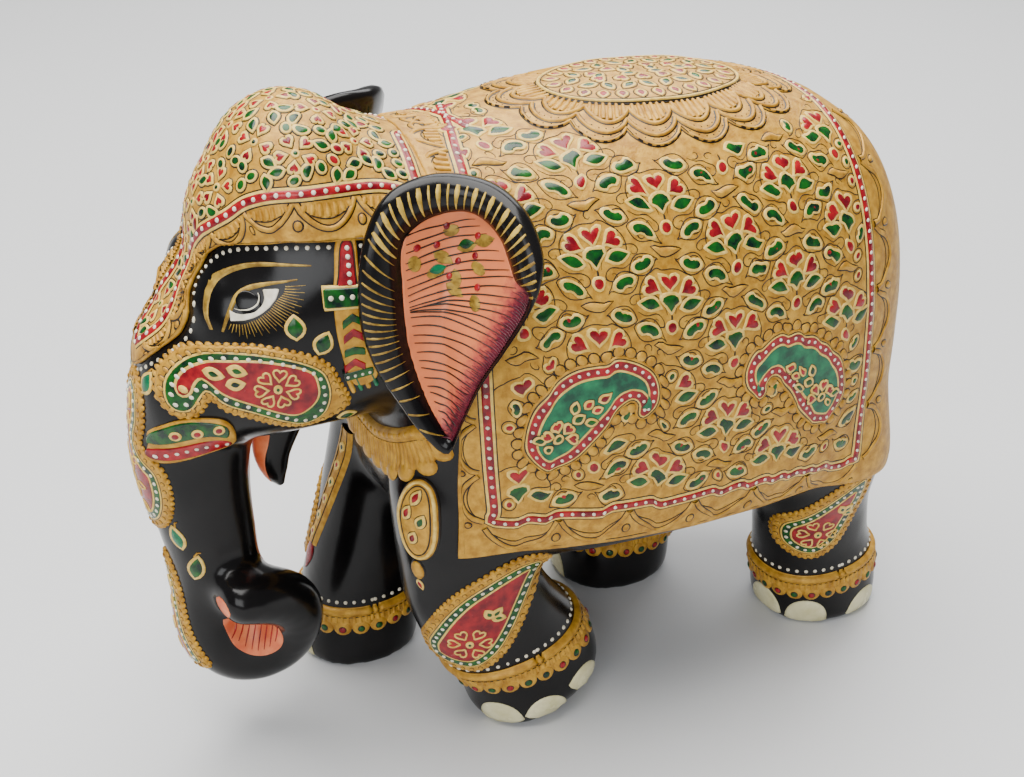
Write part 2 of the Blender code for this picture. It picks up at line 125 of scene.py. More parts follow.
LACQUER = paint("black_lacquer", (0.0022, 0.0020, 0.0022), (0.0070, 0.0060, 0.0060),
                60, 0.20, bump=0.20, bump_scale=160, rough_swing=0.05, spec=0.24)
GILT = paint("gilt", (0.36, 0.165, 0.010), (0.62, 0.335, 0.034), 420, 0.46,
             metallic=0.12, bump=0.55, bump_scale=1500)
CREAM = paint("cream_gilt", (0.60, 0.37, 0.055), (0.84, 0.58, 0.15), 700, 0.42, bump=0.3,
              bump_scale=2600)
GREEN = paint("green_enamel", (0.0015, 0.012, 0.008), (0.007, 0.105, 0.008), 420, 0.20)
TEAL = paint("emerald_enamel", (0.003, 0.050, 0.026), (0.008, 0.20, 0.075), 300, 0.22)
RED = paint("red_enamel", (0.13, 0.002, 0.008), (0.38, 0.009, 0.013), 380, 0.24)
WHITE = paint("white_paint", (0.62, 0.56, 0.40), (0.86, 0.80, 0.66), 500, 0.34)
NAIL = paint("nail_cream", (0.58, 0.53, 0.28), (0.78, 0.73, 0.46), 160, 0.26, bump=0.15,
             bump_scale=500)
LINE = paint("brush_line", (0.004, 0.002, 0.001), (0.016, 0.009, 0.003), 800, 0.40)
PEACH = paint("salmon_paint", (0.60, 0.10, 0.03), (0.86, 0.26, 0.10), 150, 0.42,
              bump=0.3, bump_scale=900)


# ---------------------------------------------------------------- mesh making
def new_object(name, verts, faces, mat):
    """A smooth-shaded mesh object in the scene, from points in metres."""
    mesh = bpy.data.meshes.new(name)
    mesh.from_pydata([tuple(v) for v in verts], [], [tuple(f) for f in faces])
    mesh.update()
    mesh.polygons.foreach_set("use_smooth", [True] * len(mesh.polygons))
    obj = bpy.data.objects.new(name, mesh)
    bpy.context.scene.collection.objects.link(obj)
    obj.data.materials.append(mat)
    return obj


def settle(obj, *nodes):
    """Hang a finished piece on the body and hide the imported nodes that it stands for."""
    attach(obj, "root")
    for node in nodes:
        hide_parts(node)


def evaluated(obj):
    """The object's mesh with its modifiers applied."""
    bpy.context.view_layer.update()
    graph = bpy.context.evaluated_depsgraph_get()
    return bpy.data.meshes.new_from_object(obj.evaluated_get(graph))


def refined(node, name, voxel, turns, mat):
    """A smooth high-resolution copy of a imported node."""
    bm = bmesh.new()
    bm.from_mesh(frame["nodes"][node].data)
    bmesh.ops.remove_doubles(bm, verts=bm.verts, dist=1e-6)
    mesh = bpy.data.meshes.new(name)
    bm.to_mesh(mesh)
    bm.free()
    obj = bpy.data.objects.new(name, mesh)
    bpy.context.scene.collection.objects.link(obj)
    remesh = obj.modifiers.new("fine", "REMESH")
    remesh.mode = "VOXEL"
    remesh.voxel_size = voxel * MM
    smooth = obj.modifiers.new("even", "SMOOTH")
    smooth.factor = 0.5
    smooth.iterations = turns
    obj.data = evaluated(obj)
    obj.modifiers.clear()
    obj.data.polygons.foreach_set("use_smooth", [True] * len(obj.data.polygons))
    obj.data.materials.clear()
    obj.data.materials.append(mat)
    return obj


def of_vertices(mesh, what):
    """One vector of every vertex, as rows: its place or its normal."""
    out = np.empty(len(mesh.vertices) * 3)
    mesh.vertices.foreach_get(what, out)
    return out.reshape(-1, 3)


def tree_of(obj):
    """The object's surface, for casting rays at and for finding its nearest point."""
    bm = bmesh.new()
    bm.from_mesh(obj.data)
    made = BVHTree.FromBMesh(bm)
    bm.free()
    return made


def swollen(obj, name, offset, mat):
    """A copy of the object grown along its normals by an offset in millimetres."""
    mesh = obj.data.copy()
    moved = of_vertices(mesh, "co") + of_vertices(mesh, "normal") * offset * MM
    mesh.vertices.foreach_set("co", moved.ravel())
    mesh.update()
    made = bpy.data.objects.new(name, mesh)
    bpy.context.scene.collection.objects.link(made)
    mesh.materials.clear()
    mesh.materials.append(mat)
    return made


def trimmed(obj, cuts):
    """Keep the part of the object behind every cut plane, a cut being (point, normal) in mm."""
    bm = bmesh.new()
    bm.from_mesh(obj.data)
    for point, normal in cuts:
        bmesh.ops.bisect_plane(
            bm, geom=bm.verts[:] + bm.edges[:] + bm.faces[:], dist=1e-7,
            plane_co=Vector(point) * MM, plane_no=Vector(normal), clear_outer=True)
    bm.to_mesh(obj.data)
    bm.free()


def edged(obj, depth):
    """Turn the open rim of a shell inwards by a depth in millimetres."""
    bm = bmesh.new()
    bm.from_mesh(obj.data)
    bm.normal_update()
    normals = {v: v.normal.copy() for v in bm.verts}
    rim = [e for e in bm.edges if e.is_boundary]
    made = bmesh.ops.extrude_edge_only(bm, edges=rim)
    fresh = [v for v in made["geom"] if isinstance(v, bmesh.types.BMVert)]
    for v in fresh:
        near = [e.other_vert(v) for e in v.link_edges]
        old = [n for n in near if n in normals]
        if old:
            v.co -= normals[old[0]] * depth * MM
    bm.normal_update()
    bm.to_mesh(obj.data)
    bm.free()


# ---------------------------------------------------------------- charts
class Chart:
    """A grid of surface points and normals, looked up by two coordinates in millimetres."""

    def __init__(self, u0, v0, step, points, relax=1):
        self.u0, self.v0, self.step = u0, v0, step
        points = self.filled(points)
        for _ in range(relax):
            points = self.relaxed(points)
        self.points = points
        du = np.gradient(points, axis=0)
        dv = np.gradient(points, axis=1)
        normals = np.cross(du, dv)
        self.normals = normals / np.maximum(np.linalg.norm(normals, axis=2, keepdims=True), 1e-12)
        self.sign = 1.0

    @staticmethod
    def filled(points):
        """Carry the nearest found points outwards into cells where the rays found nothing."""
        points = points.copy()
        for _ in range(max(points.shape[:2])):
            empty = np.isnan(points[..., 0])
            if not empty.any():
                break
            total = np.zeros_like(points)
            count = np.zeros(points.shape[:2])
            for axis, shift in ((0, 1), (0, -1), (1, 1), (1, -1)):
                moved = np.roll(points, shift, axis)
                edge = [slice(None)] * 2
                edge[axis] = 0 if shift == 1 else -1
                moved[tuple(edge)] = np.nan
                good = ~np.isnan(moved[..., 0])
                total[good] += moved[good]
                count[good] += 1
            grow = empty & (count > 0)
            points[grow] = total[grow] / count[grow][:, None]
        return points

    @staticmethod
    def relaxed(points):
        """The grid evened out by one step."""
        padded = np.pad(points, ((1, 1), (1, 1), (0, 0)), mode="reflect", reflect_type="odd")
        around = padded[:-2, 1:-1] + padded[2:, 1:-1] + padded[1:-1, :-2] + padded[1:-1, 2:]
        return 0.5 * points + 0.125 * around

    def at(self, uv, height=0.0):
        uv = np.asarray(uv, float)
        height = np.broadcast_to(np.asarray(height, float), uv.shape[:1])
        grid = np.stack([(uv[:, 0] - self.u0) / self.step, (uv[:, 1] - self.v0) / self.step], 1)
        top = np.array(self.points.shape[:2]) - 1.001
        grid = np.clip(grid, 0, top)
        low = grid.astype(int)
        f = grid - low
        i, j = low[:, 0], low[:, 1]
        fu, fv = f[:, :1], f[:, 1:]
        out = []
        for field in (self.points, self.normals):
            out.append(
                field[i, j] * (1 - fu) * (1 - fv) + field[i + 1, j] * fu * (1 - fv)
                + field[i, j + 1] * (1 - fu) * fv + field[i + 1, j + 1] * fu * fv)
        normal = out[1] / np.maximum(np.linalg.norm(out[1], axis=1, keepdims=True), 1e-12)
        return out[0] + normal * (self.sign * height[:, None] * MM)


def ray_chart(tree, u_range, v_range, step, ray, relax=1, depth=1000.0):
    """A chart whose ray function gives an origin and a direction for each coordinate pair."""
    us = np.arange(u_range[0], u_range[1] + step, step)
    vs = np.arange(v_range[0], v_range[1] + step, step)
    points = np.full((len(us), len(vs), 3), np.nan)
    face = None
    for i, u in enumerate(us):
        for j, v in enumerate(vs):
            origin, toward = ray(u, v)
            hit = tree.ray_cast(Vector(origin) * MM, Vector(toward).normalized(), depth * MM)
            if hit[0] is not None:
                points[i, j] = hit[0]
                if face is None:
                    face = (i, j, Vector(toward))
    chart = Chart(us[0], vs[0], step, points, relax)
    i, j = face[0], face[1]
    chart.sign = -1.0 if chart.normals[i, j] @ np.array(face[2]) > 0 else 1.0
    return chart


# ---------------------------------------------------------------- drawing
SINK = 0.12  # how far a raised piece's foot goes into the surface, so that no gap shows


class Ink:
    """Gathers raised pieces of one finish into one mesh."""

    inks = []

    def __init__(self, name, mat, replaces=()):
        self.name, self.mat, self.nodes = name, mat, replaces
        self.verts, self.faces, self.count = [], [], 0
        Ink.inks.append(self)

    def add(self, points, faces):
        self.verts.append(points)
        self.faces.extend([tuple(k + self.count for k in f) for f in faces])
        self.count += len(points)

    def build(self):
        if not self.count:
            return None
        obj = new_object(self.name, np.vstack(self.verts), self.faces, self.mat)
        settle(obj, *self.nodes)
        return obj


def normals_2d(loop):
    """Outward normals of a closed counter-clockwise or clockwise loop."""
    ahead = np.roll(loop, -1, 0) - np.roll(loop, 1, 0)
    out = np.stack([ahead[:, 1], -ahead[:, 0]], 1)
    out /= np.maximum(np.linalg.norm(out, axis=1, keepdims=True), 1e-9)
    area = np.sum(loop[:, 0] * np.roll(loop[:, 1], -1) - np.roll(loop[:, 0], -1) * loop[:, 1])
    return out if area > 0 else -out


def pad(ink, chart, loop, height, lift=0.0, grow=0.0, dome=0.35):
    """A raised cushion over a loop that is star-shaped about its middle."""
    loop = np.asarray(loop, float)
    if grow:
        loop = loop + normals_2d(loop) * grow
    centre = loop.mean(0)
    n = len(loop)
    uv, hs = [], []
    flat = 1 - dome
    for scale, h in ((1.0, -SINK), (0.985, height * flat * 0.75), (0.86, height * flat),
                     (0.5, height * (flat + dome * 0.8))):
        uv.append(centre + (loop - centre) * scale)
        hs.append(np.full(n, h + lift))
    uv.append(centre[None])
    hs.append(np.array([height + lift]))
    faces = []
    for ring in range(3):
        a = ring * n
        for i in range(n):
            j = (i + 1) % n
            faces.append((a + i, a + j, a + n + j, a + n + i))
    a = 3 * n
    faces += [(a + i, a + (i + 1) % n, 4 * n) for i in range(n)]
    ink.add(chart.at(np.vstack(uv), np.concatenate(hs)), faces)


def ribbon(ink, chart, path, width, height, closed=False, lift=0.0, sink=SINK, taper=None):
    """A raised line along a path."""
    path = np.asarray(path, float)
    if closed:
        ahead = np.roll(path, -1, 0) - np.roll(path, 1, 0)
    else:
        ahead = np.gradient(path, axis=0)
    side = np.stack([-ahead[:, 1], ahead[:, 0]], 1)
    side /= np.maximum(np.linalg.norm(side, axis=1, keepdims=True), 1e-9)
    widths = np.full(len(path), width / 2.0)
    if taper is not None:
        widths = widths * np.interp(np.linspace(0, 1, len(path)), *zip(*taper))
    profile = ((-1, -sink), (-0.72, height * 0.72), (0, height), (0.72, height * 0.72), (1, -sink))
    uv = np.stack([path + side * (widths * k)[:, None] for k, _ in profile], 1).reshape(-1, 2)
    hs = np.tile(np.array([h for _, h in profile]) + lift, len(path))
    n = len(path)
    faces = []
    for i in range(n if closed else n - 1):
        j = (i + 1) % n
        for k in range(4):
            faces.append((i * 5 + k, i * 5 + k + 1, j * 5 + k + 1, j * 5 + k))
    ink.add(chart.at(uv, hs), faces)


def dots(ink, chart, centres, radius, height, lift=0.0, sides=10):
    """Small round beads."""
    turn = np.linspace(0, 2 * np.pi, sides, endpoint=False)
    circle = np.stack([np.cos(turn), np.sin(turn)], 1)
    for c in np.asarray(centres, float):
        uv = np.vstack([c + circle * radius, c + circle * radius * 0.86,
                        c + circle * radius * 0.5, c[None]])
        hs = np.concatenate([np.full(sides, -0.1), np.full(sides, height * 0.5),
                             np.full(sides, height * 0.88), [height]]) + lift
        faces = []
        for ring in range(2):
            a = ring * sides
            for i in range(sides):
                j = (i + 1) % sides
                faces.append((a + i, a + j, a + sides + j, a + sides + i))
        faces += [(2 * sides + i, 2 * sides + (i + 1) % sides, 3 * sides) for i in range(sides)]
        ink.add(chart.at(uv, hs), faces)


def field(ink, chart, loop, height, pitch=1.2, sink=0.3, rounding=0.3):
    """A flat raised area of any outline."""
    loop = resampled(np.asarray(loop, float), pitch * 0.7, True)
    out = normals_2d(loop)
    inner = loop - out * rounding
    low, high = inner.min(0), inner.max(0)
    us, vs = np.meshgrid(np.arange(low[0], high[0], pitch), np.arange(low[1], high[1], pitch))
    grid = np.stack([us.ravel(), vs.ravel()], 1)
    grid = grid[inside(grid, inner - out * pitch * 0.4)]
    n = len(inner)
    points = [Vector(p) for p in np.vstack([inner, grid])]
    edges = [(i, (i + 1) % n) for i in range(n)]
    verts, _, tris, _, _, _ = delaunay_2d_cdt(points, edges, [], 1, 1e-6)
    top = np.array([v[:] for v in verts])
    count = len(top)
    uv = np.vstack([top, inner, loop, loop])
    hs = np.concatenate([np.full(count + n, height), np.full(n, height - rounding * 0.6),
                         np.full(n, -sink)])
    faces = [tuple(t) for t in tris]
    for a, b in ((count, count + n), (count + n, count + 2 * n)):
        for i in range(n):
            j = (i + 1) % n
            faces.append((a + i, b + i, b + j, a + j))
    ink.add(chart.at(uv, hs), faces)


def inside(points, loop):
    """Which points lie inside a closed loop, by counting crossings."""
    x, y = points[:, 0], points[:, 1]
    hit = np.zeros(len(points), bool)
    for a, b in zip(loop, np.roll(loop, -1, 0)):
        cross = (a[1] > y) != (b[1] > y)
        with np.errstate(divide="ignore", invalid="ignore"):
            at = (b[0] - a[0]) * (y - a[1]) / (b[1] - a[1]) + a[0]
        hit ^= cross & (x < at)
    return hit


def resampled(path, step, closed=False):
    """The path again, with its points at an even spacing near the step."""
    path = np.asarray(path, float)
    if closed:
        path = np.vstack([path, path[:1]])
    run = np.concatenate([[0], np.cumsum(np.linalg.norm(np.diff(path, axis=0), axis=1))])
    count = max(4, int(round(run[-1] / step)))
    spots = np.linspace(0, run[-1], count, endpoint=not closed)
    return np.stack([np.interp(spots, run, path[:, k]) for k in range(2)], 1)


def smooth(points, closed=False, steps=6):
    """A Catmull-Rom curve through the points."""
    p = np.asarray(points, float)
    p = np.vstack([p[-1:], p, p[:2]]) if closed else np.vstack([2 * p[0] - p[1], p, 2 * p[-1] - p[-2]])
    out = []
    for a, b, c, d in zip(p, p[1:], p[2:], p[3:]):
        for t in np.arange(steps) / steps:
            out.append(0.5 * (2 * b + (c - a) * t + (2 * a - 5 * b + 4 * c - d) * t ** 2
                              + (3 * b - a - 3 * c + d) * t ** 3))
    if not closed:
        out.append(p[-2])
    return np.array(out)


def placed(loop, x, y, angle=0.0, scale=1.0, flip=1.0):
    """A motif turned clockwise by an angle in degrees and moved to a spot."""
    a = math.radians(angle)
    loop = np.asarray(loop, float) * scale * np.array([flip, 1.0])
    turn = np.array([[math.cos(a), -math.sin(a)], [math.sin(a), math.cos(a)]])
    return loop @ turn + np.array([x, y])


def leaf(length, width, bend=0.0):
    """A pointed leaf from the origin along +Y."""
    half = np.linspace(0, 1, 8)
    shape = np.sin(np.pi * half ** 0.85) * width / 2
    right = np.stack([shape, half * length], 1)
    left = np.stack([-shape, half * length], 1)[-2:0:-1]
    loop = np.vstack([right, left])
    loop[:, 0] += bend * np.sin(np.pi * loop[:, 1] / length)
    return loop


def heart(width, length, count=16):
    """A petal with a notched outer edge, its point at the origin, opening along +Y."""
    t = np.linspace(0, 2 * np.pi, count, endpoint=False)
    x = 16 * np.sin(t) ** 3
    y = 13 * np.cos(t) - 5 * np.cos(2 * t) - 2 * np.cos(3 * t) - np.cos(4 * t)
    return np.stack([x / 32 * width, (y + 17) / 29 * length], 1)


def blob(length, width, count=12):
    """An oval from the origin along +Y."""
    t = np.linspace(0, 2 * np.pi, count, endpoint=False)
    return np.stack([np.cos(t) * width / 2, (1 + np.sin(t)) * length / 2], 1)


def bean(length, width, bend):
    """A kidney-shaped leaf along +Y that bows to +X."""
    t = np.linspace(0, 2 * np.pi, 14, endpoint=False)
    y = (1 - np.cos(t)) / 2 * length
    x = np.sin(t) * width / 2 + bend * np.sin(np.pi * y / length)
    return np.stack([x, y], 1)


class Set:
    """The inks of one region of the figure."""

    def __init__(self, region, **replaced):
        for key, mat in (("line", LINE), ("cream", CREAM), ("gilt", GILT), ("green", GREEN),
                         ("teal", TEAL), ("red", RED), ("white", WHITE)):
            setattr(self, key, Ink(region + "_" + key, mat, replaced.get(key, ())))

    def gem(self, chart, loop, kind, rim=0.28, line=0.26, height=0.36, lift=0.0):
        """An enamel drop in a cream-gold rim with a black line round it."""
        if line:
            pad(self.line, chart, loop, 0.07, lift, rim + line, 0.1)
        if rim:
            pad(self.cream, chart, loop, 0.26, lift, rim, 0.1)
        pad(getattr(self, kind), chart, loop, height, lift, 0.0, 0.45)

    def band(self, chart, path, width, bead, pitch):
        """A red strip with white dots, gold edges and black lines outside them."""
        path = resampled(path, 1.0)
        ribbon(self.line, chart, path, width + 2.0, 0.10)
        ribbon(self.cream, chart, path, width + 1.3, 0.22)
        ribbon(self.red, chart, path, width, 0.34)
        dots(self.white, chart, resampled(path, pitch), bead, 0.30, 0.28, 8)


# ---------------------------------------------------------------- surfaces
wood = refined("carved_block", "wood", 1.15, 20, LACQUER)
wood = swollen(wood, "carved_wood", 0.18, LACQUER)
bpy.data.objects.remove(bpy.data.objects["wood"])
settle(wood, "carved_block")

FRONT_SLOPE = 0.033
HEM_SLOPE = -0.07


def hem_z(y):
    """Height of the saddle cloth's lower edge."""
    return 56.6 + HEM_SLOPE * (y - Y0)


saddle = swollen(wood, "saddle_gold", 1.6, GILT)
trimmed(saddle, [((0, -36.4 + Y0, 58.8), (0, -1, FRONT_SLOPE)), ((0, Y0, 56.6), (0, HEM_SLOPE, -1))])
edged(saddle, 1.7)
settle(saddle, "saddle_cloth")
saddle_tree = tree_of(saddle)
wood_tree = tree_of(wood)


def flank_chart(tree, side):
    """Chart (y, height up the cloth from its hem, along the cloth) of one flank, past the ridge."""
    ys = np.arange(-42, 88, 1.0)
    ws = np.arange(-3, 175, 1.0)
    angles = np.radians(np.arange(150, -60, -0.75))
    points = np.full((len(ys), len(ws), 3), np.nan)
    for i, y in enumerate(ys):
        run = []
        for a in angles:
            out = Vector((side * math.sin(a), 0, math.cos(a)))
            axis = Vector((0, y, 95)) * MM
            hit = tree.ray_cast(axis + out * 0.08, -out)[0]
            if hit is not None and hit.z > (hem_z(y) - 4) * MM and (hit - axis).dot(out) > 0:
                run.append(hit)
        if len(run) < 40:
            continue
        run = np.array(run)
        step = np.linalg.norm(np.diff(run, axis=0), axis=1)
        s = np.concatenate([[0], np.cumsum(step)]) / MM
        first = np.argmax(run[:, 2] > hem_z(y) * MM)
        s -= s[first]
        good = (ws >= s[0]) & (ws <= s[-1])
        for k in range(3):
            points[i, good, k] = np.interp(ws[good], s, run[:, k])
    chart = Chart(ys[0], ws[0], 1.0, points, 2)
    middle = chart.normals[60, 60]
    chart.sign = 1.0 if middle[0] * side > 0 else -1.0
    return chart


flanks = {1: flank_chart(saddle_tree, 1), -1: flank_chart(saddle_tree, -1)}


def ridge_chart(tree):
    """Chart (signed distance from the ridge towards the left, along the cloth; y)."""
    ss = np.arange(-46, 47, 1.0)
    ys = np.arange(-34, 80, 1.0)
    angles = np.radians(np.arange(-75, 75.1, 0.75))
    points = np.full((len(ss), len(ys), 3), np.nan)
    for j, y in enumerate(ys):
        run = []
        for a in angles:
            out = Vector((math.sin(a), 0, math.cos(a)))
            hit = tree.ray_cast((Vector((0, y, 95)) + out * 80) * MM, -out)[0]
            if hit is not None:
                run.append(hit)
        run = np.array(run)
        s = np.concatenate([[0], np.cumsum(np.linalg.norm(np.diff(run, axis=0), axis=1))]) / MM
        s -= np.interp(0, run[:, 0], s)
        for k in range(3):
            points[:, j, k] = np.interp(ss, s, run[:, k], np.nan, np.nan)
    chart = Chart(ss[0], ys[0], 1.0, points, 2)
    chart.sign = 1.0 if chart.normals[46, 50][2] > 0 else -1.0
    return chart


ridge = ridge_chart(saddle_tree)


def ridge_w(y):
    """The flank chart's height coordinate of the ridge."""
    return np.interp(y, (-36, -20, 0, 20, 40, 60, 70, 78), (103, 113, 119, 123, 122, 118, 113, 106))


# ---------------------------------------------------------------- the saddle cloth
FRONT_RED = ((-18.9, 120), (-20.2, 115), (-22, 107), (-24, 98), (-25.2, 89), (-27, 76), (-28.5, 60),
             (-29, 44), (-28.6, 28), (-27.6, 14))
HEM_RED = ((-27.2, 10.4), (-12, 11), (8, 11.2), (28, 11), (48, 10), (66, 7.8))
REAR_RED = ((68.2, 8.6), (68.4, 20), (67.8, 40), (67, 60), (66.6, 80), (66.4, 100), (66.4, 116))
PAISLEYS = (
    ((-21.5, 31), (-20, 26), (-15.5, 23.4), (-10.5, 25.4), (-6, 30.5), (-1.5, 36), (2, 38.4),
     (3.6, 37), (3.4, 34.8), (5, 33.6), (8, 36), (8.6, 40.4), (6.4, 45), (0.5, 48.2), (-6.5, 48.2),
     (-13, 45.4), (-19, 39)),
    ((60.4, 32), (59, 26.5), (54.6, 22.8), (49.6, 24.6), (45.4, 30), (41.4, 36), (38, 38.6),
     (36.2, 37.4), (36.4, 35.4), (34.4, 34), (31, 36.4), (30, 41), (32.4, 45.6), (38, 48.6),
     (45, 48.2), (52, 44.6), (58, 39)),
)


def free_cloth(y, w, room):
    """Whether a spot on a flank lies inside the red border and clear of the paisleys and fringe."""
    if w < 14.0 + room * 0.3 or y < -24.5 + 0.04 * max(0, w - 60) or y > 64.6 - room * 0.3:
        return False
    if w > ridge_w(y) - 1.0 or fringe_level(y, ridge_w(y) - w) < 15.5 + room * 0.4:
        return False
    return not any(inside(np.array([[y, w]]), loop)[0] for loop in paisley_loops(room))


OVAL_MIDDLE = np.array([0.0, 25.2 + Y0])
OVAL_HALF = np.array([15.4, 24.3])


def fringe_level(y, s):
    """Distance outside the medallion's oval of a spot at y, a distance s off the ridge."""
    off = np.array([s, y - OVAL_MIDDLE[1]])
    share = max(1e-6, np.linalg.norm(off / OVAL_HALF))
    return np.linalg.norm(off) * (1 - 1 / share)


@functools.lru_cache
def paisley_loops(room):
    """The cloth paisleys' outlines with their beading and some room round it."""
    return [normals_2d(loop) * (2.0 + room) + loop for loop in (smooth(p, True, 3) for p in PAISLEYS)]


def scroll(ink, chart, points, width):
    """A thin brush line that swells and ends in a point."""
    path = resampled(smooth(points), 0.55)
    ribbon(ink, chart, path, width, 0.10, taper=((0, 0.35), (0.3, 1), (0.75, 0.9), (1, 0.3)))


def kidney(length, width):
    """A bean along +Y with a notch on its +X side."""
    t = np.linspace(0, 2 * np.pi, 18, endpoint=False)
    y = (1 - np.cos(t)) / 2 * length
    dent = np.where(np.sin(t) > 0, 0.32 * width * np.exp(-((y / length - 0.5) / 0.16) ** 2), 0)
    return np.stack([np.sin(t) * width / 2 - dent, y], 1)


def husk(length, width):
    """The outline of a long gold leaf round a bean, its tip drawn out and hooked."""
    t = np.linspace(0.02, 0.98, 13)
    right = np.stack([np.sin(np.pi * t ** 0.9) * width / 2, t * length], 1)
    left = np.stack([-np.sin(np.pi * t ** 0.9) * width / 2, t * length], 1)[::-1]
    tip = np.array([[0.25, length * 1.10], [-0.1, length * 1.02]])
    return np.vstack([right, tip, left])


class Garden:
    """Plants sprigs on one flank and remembers where their edges are."""

    def __init__(self, inks, chart, free):
        self.inks, self.chart, self.free = inks, chart, free
        self.taken = [np.zeros((1, 2)) - 500]

    def gem(self, loop, kind, spot, angle, size=1.0, rim=0.42, outline=None, height=0.34, flip=1.0):
        """An enamel drop in a cream rim, with a black brush outline a little way off."""
        loop = placed(loop, *spot, angle, size, flip)
        mid = loop.mean(0)
        if not self.free(*mid, 1.6):
            return False
        pad(self.inks.cream, self.chart, loop, 0.22, 0, rim, 0.1)
        pad(getattr(self.inks, kind), self.chart, loop, height, 0, 0.0, 0.45)
        if outline is not None:
            edge = placed(outline, *spot, angle, size, flip)
            ribbon(self.inks.line, self.chart, resampled(edge, 0.7, True), 0.30, 0.09, True)
            self.taken.append(edge)
        else:
            self.taken.append(loop)
        return True

    def line(self, points, origin, size=1.0, flip=1.0, width=0.32):
        """A black brush line, left out where it would leave the free cloth."""
        points = np.asarray(points, float) * size * np.array([flip, 1.0]) + origin
        if all(self.free(*p, 0.6) for p in points[[0, len(points) // 2, -1]]):
            scroll(self.inks.line, self.chart, points, width)
            self.taken.append(points)

    def pillow(self, spot):
        """A raised gold leaf that lies along the cloth."""
        loop = placed(leaf(6.6, 1.9), 0, 0, 90)
        loop = loop - loop.mean(0) + spot
        if self.free(*spot, 1.2):
            pad(self.inks.line, self.chart, loop, 0.10, 0, 0.32, 0.1)
            pad(self.inks.gilt, self.chart, loop, 0.62, 0, 0.0, 0.55)
            self.taken.append(loop)

    def petals(self, origin, size):
        """Three notched petals fanned over the cup, inside one scalloped black outline."""
        made = False
        for x, z, angle, width, length in ((-2.1, 1.2, -66, 4.5, 4.4), (0, 2.1, 0, 5.0, 4.0),
                                           (2.1, 1.2, 66, 4.5, 4.4)):
            made |= self.gem(heart(width, length, 18), "red", origin + np.array([x, z]) * size, angle,
                             size * rng.uniform(0.96, 1.04), 0.30)
        if made:
            turn = np.radians(np.arange(-104, 105, 4))
            reach = (6.9 + 0.45 * np.abs(np.cos(turn * 2.55))) * size
            arc = np.stack([np.sin(turn) * reach, np.cos(turn) * reach * 0.98], 1) + origin
            if self.free(*(origin + (0, 5 * size)), 0.6):
                ribbon(self.inks.line, self.chart, arc, 0.30, 0.09)
                self.taken.append(arc)

    def sprig(self, y, w, size=1.0):
        """Petals over a green cup, side leaves, a stem with its drop, and beans all round."""
        origin = np.array([y, w])
        cup = np.array([(2.5, -0.5), (2.2, 0.8), (1.2, 1.7), (0, 2.0), (-1.2, 1.7), (-2.2, 0.8),
                        (-2.5, -0.5), (-1.2, -1.2), (-0.45, -2.2), (0, -2.8), (0.45, -2.2), (1.2, -1.2)])
        self.petals(origin, size)
        self.gem(cup, "green", origin, 0, size, 0.30)
        self.gem(blob(2.9, 2.6), "red", origin + (0, -7.4 * size), 0, size, 0.30)
        self.line(((0, -2.8), (0.15, -3.8), (0, -5.0)), origin, size, 1, 0.55)
        for side in (-1, 1):
            self.gem(leaf(5.8, 3.1), "green", origin + np.array([2.2 * side, -2.0]) * size, 80 * side,
                     size, 0.30)
            self.line(((1.0, -3.0), (1.6, -1.2), (4.0, 0.4), (6.6, 0.9), (8.6, 0.9), (9.7, -0.1),
                       (9.3, -1.2), (8.2, -1.1), (8.2, -0.3)), origin, size, side)
            self.line(((8.0, -2.9), (6.0, -4.1), (3.4, -3.9), (1.9, -4.7), (1.9, -6.1), (3.1, -6.9),
                       (4.3, -6.1), (3.9, -5.1), (3.1, -5.3)), origin, size, side)
            for up, lean, turn in ((7.4, 68, 1), (-7.4, 112, -1)):
                at = origin + np.array([8.2 * side, up - 1.0 * turn]) * size
                self.gem(kidney(5.6, 3.1), "green", at, -lean * side, size * rng.uniform(0.92, 1.04), 0.32,
                         husk(7.6, 5.2) - np.array([0, 1.0]), 0.34, side * turn)
        self.pillow(origin + (0.2, 10.6))

    def filler(self, low, high):
        """Small drops, hearts and curls wherever the sprigs have left gold bare."""
        spots = [(y, w) for y in np.arange(low[0], high[0], 1.5) for w in np.arange(low[1], high[1], 1.5)]
        spots = np.array([spot for spot in spots if self.free(*spot, 1.5)])
        spots = spots[rng.permutation(len(spots))]
        for room in (2.5, 1.75, 1.25):
            edges = np.vstack(self.taken)
            gaps = [np.min(np.sum((edges - spot) ** 2, 1)) for spot in spots]
            fresh = len(self.taken)
            for spot, gap in zip(spots, gaps):
                if gap < room ** 2 or any(np.min(np.sum((t - spot) ** 2, 1)) < room ** 2
                                          for t in self.taken[fresh:]):
                    continue
                self.fill(spot, room, rng.uniform(0, 360))

    def fill(self, spot, room, angle):
        """One small motif, chosen by the room there is for it."""
        if room > 2:
            kind = "red" if rng.random() < 0.4 else "green"
            loop = heart(2.7, 2.6) if kind == "red" else kidney(3.4, 2.1)
            self.gem(loop - loop.mean(0), kind, spot, angle, 1.0, 0.32, husk(5.0, 3.5) - np.array([0, 2.4]))
        elif room > 1.5:
            loop = blob(1.9, 1.5) - np.array([0, 0.95])
            self.gem(loop, "green" if rng.random() < 0.5 else "red", spot, angle, 1.0, 0.3,
                     normals_2d(loop) * 0.8 + loop)
        else:
            turn = np.linspace(0, 4.4, 9)
            reach = np.linspace(1.3, 0.35, 9)
            curl = np.stack([np.cos(turn) * reach, np.sin(turn) * reach], 1)
            self.line(placed(curl, 0, 0, angle), spot)


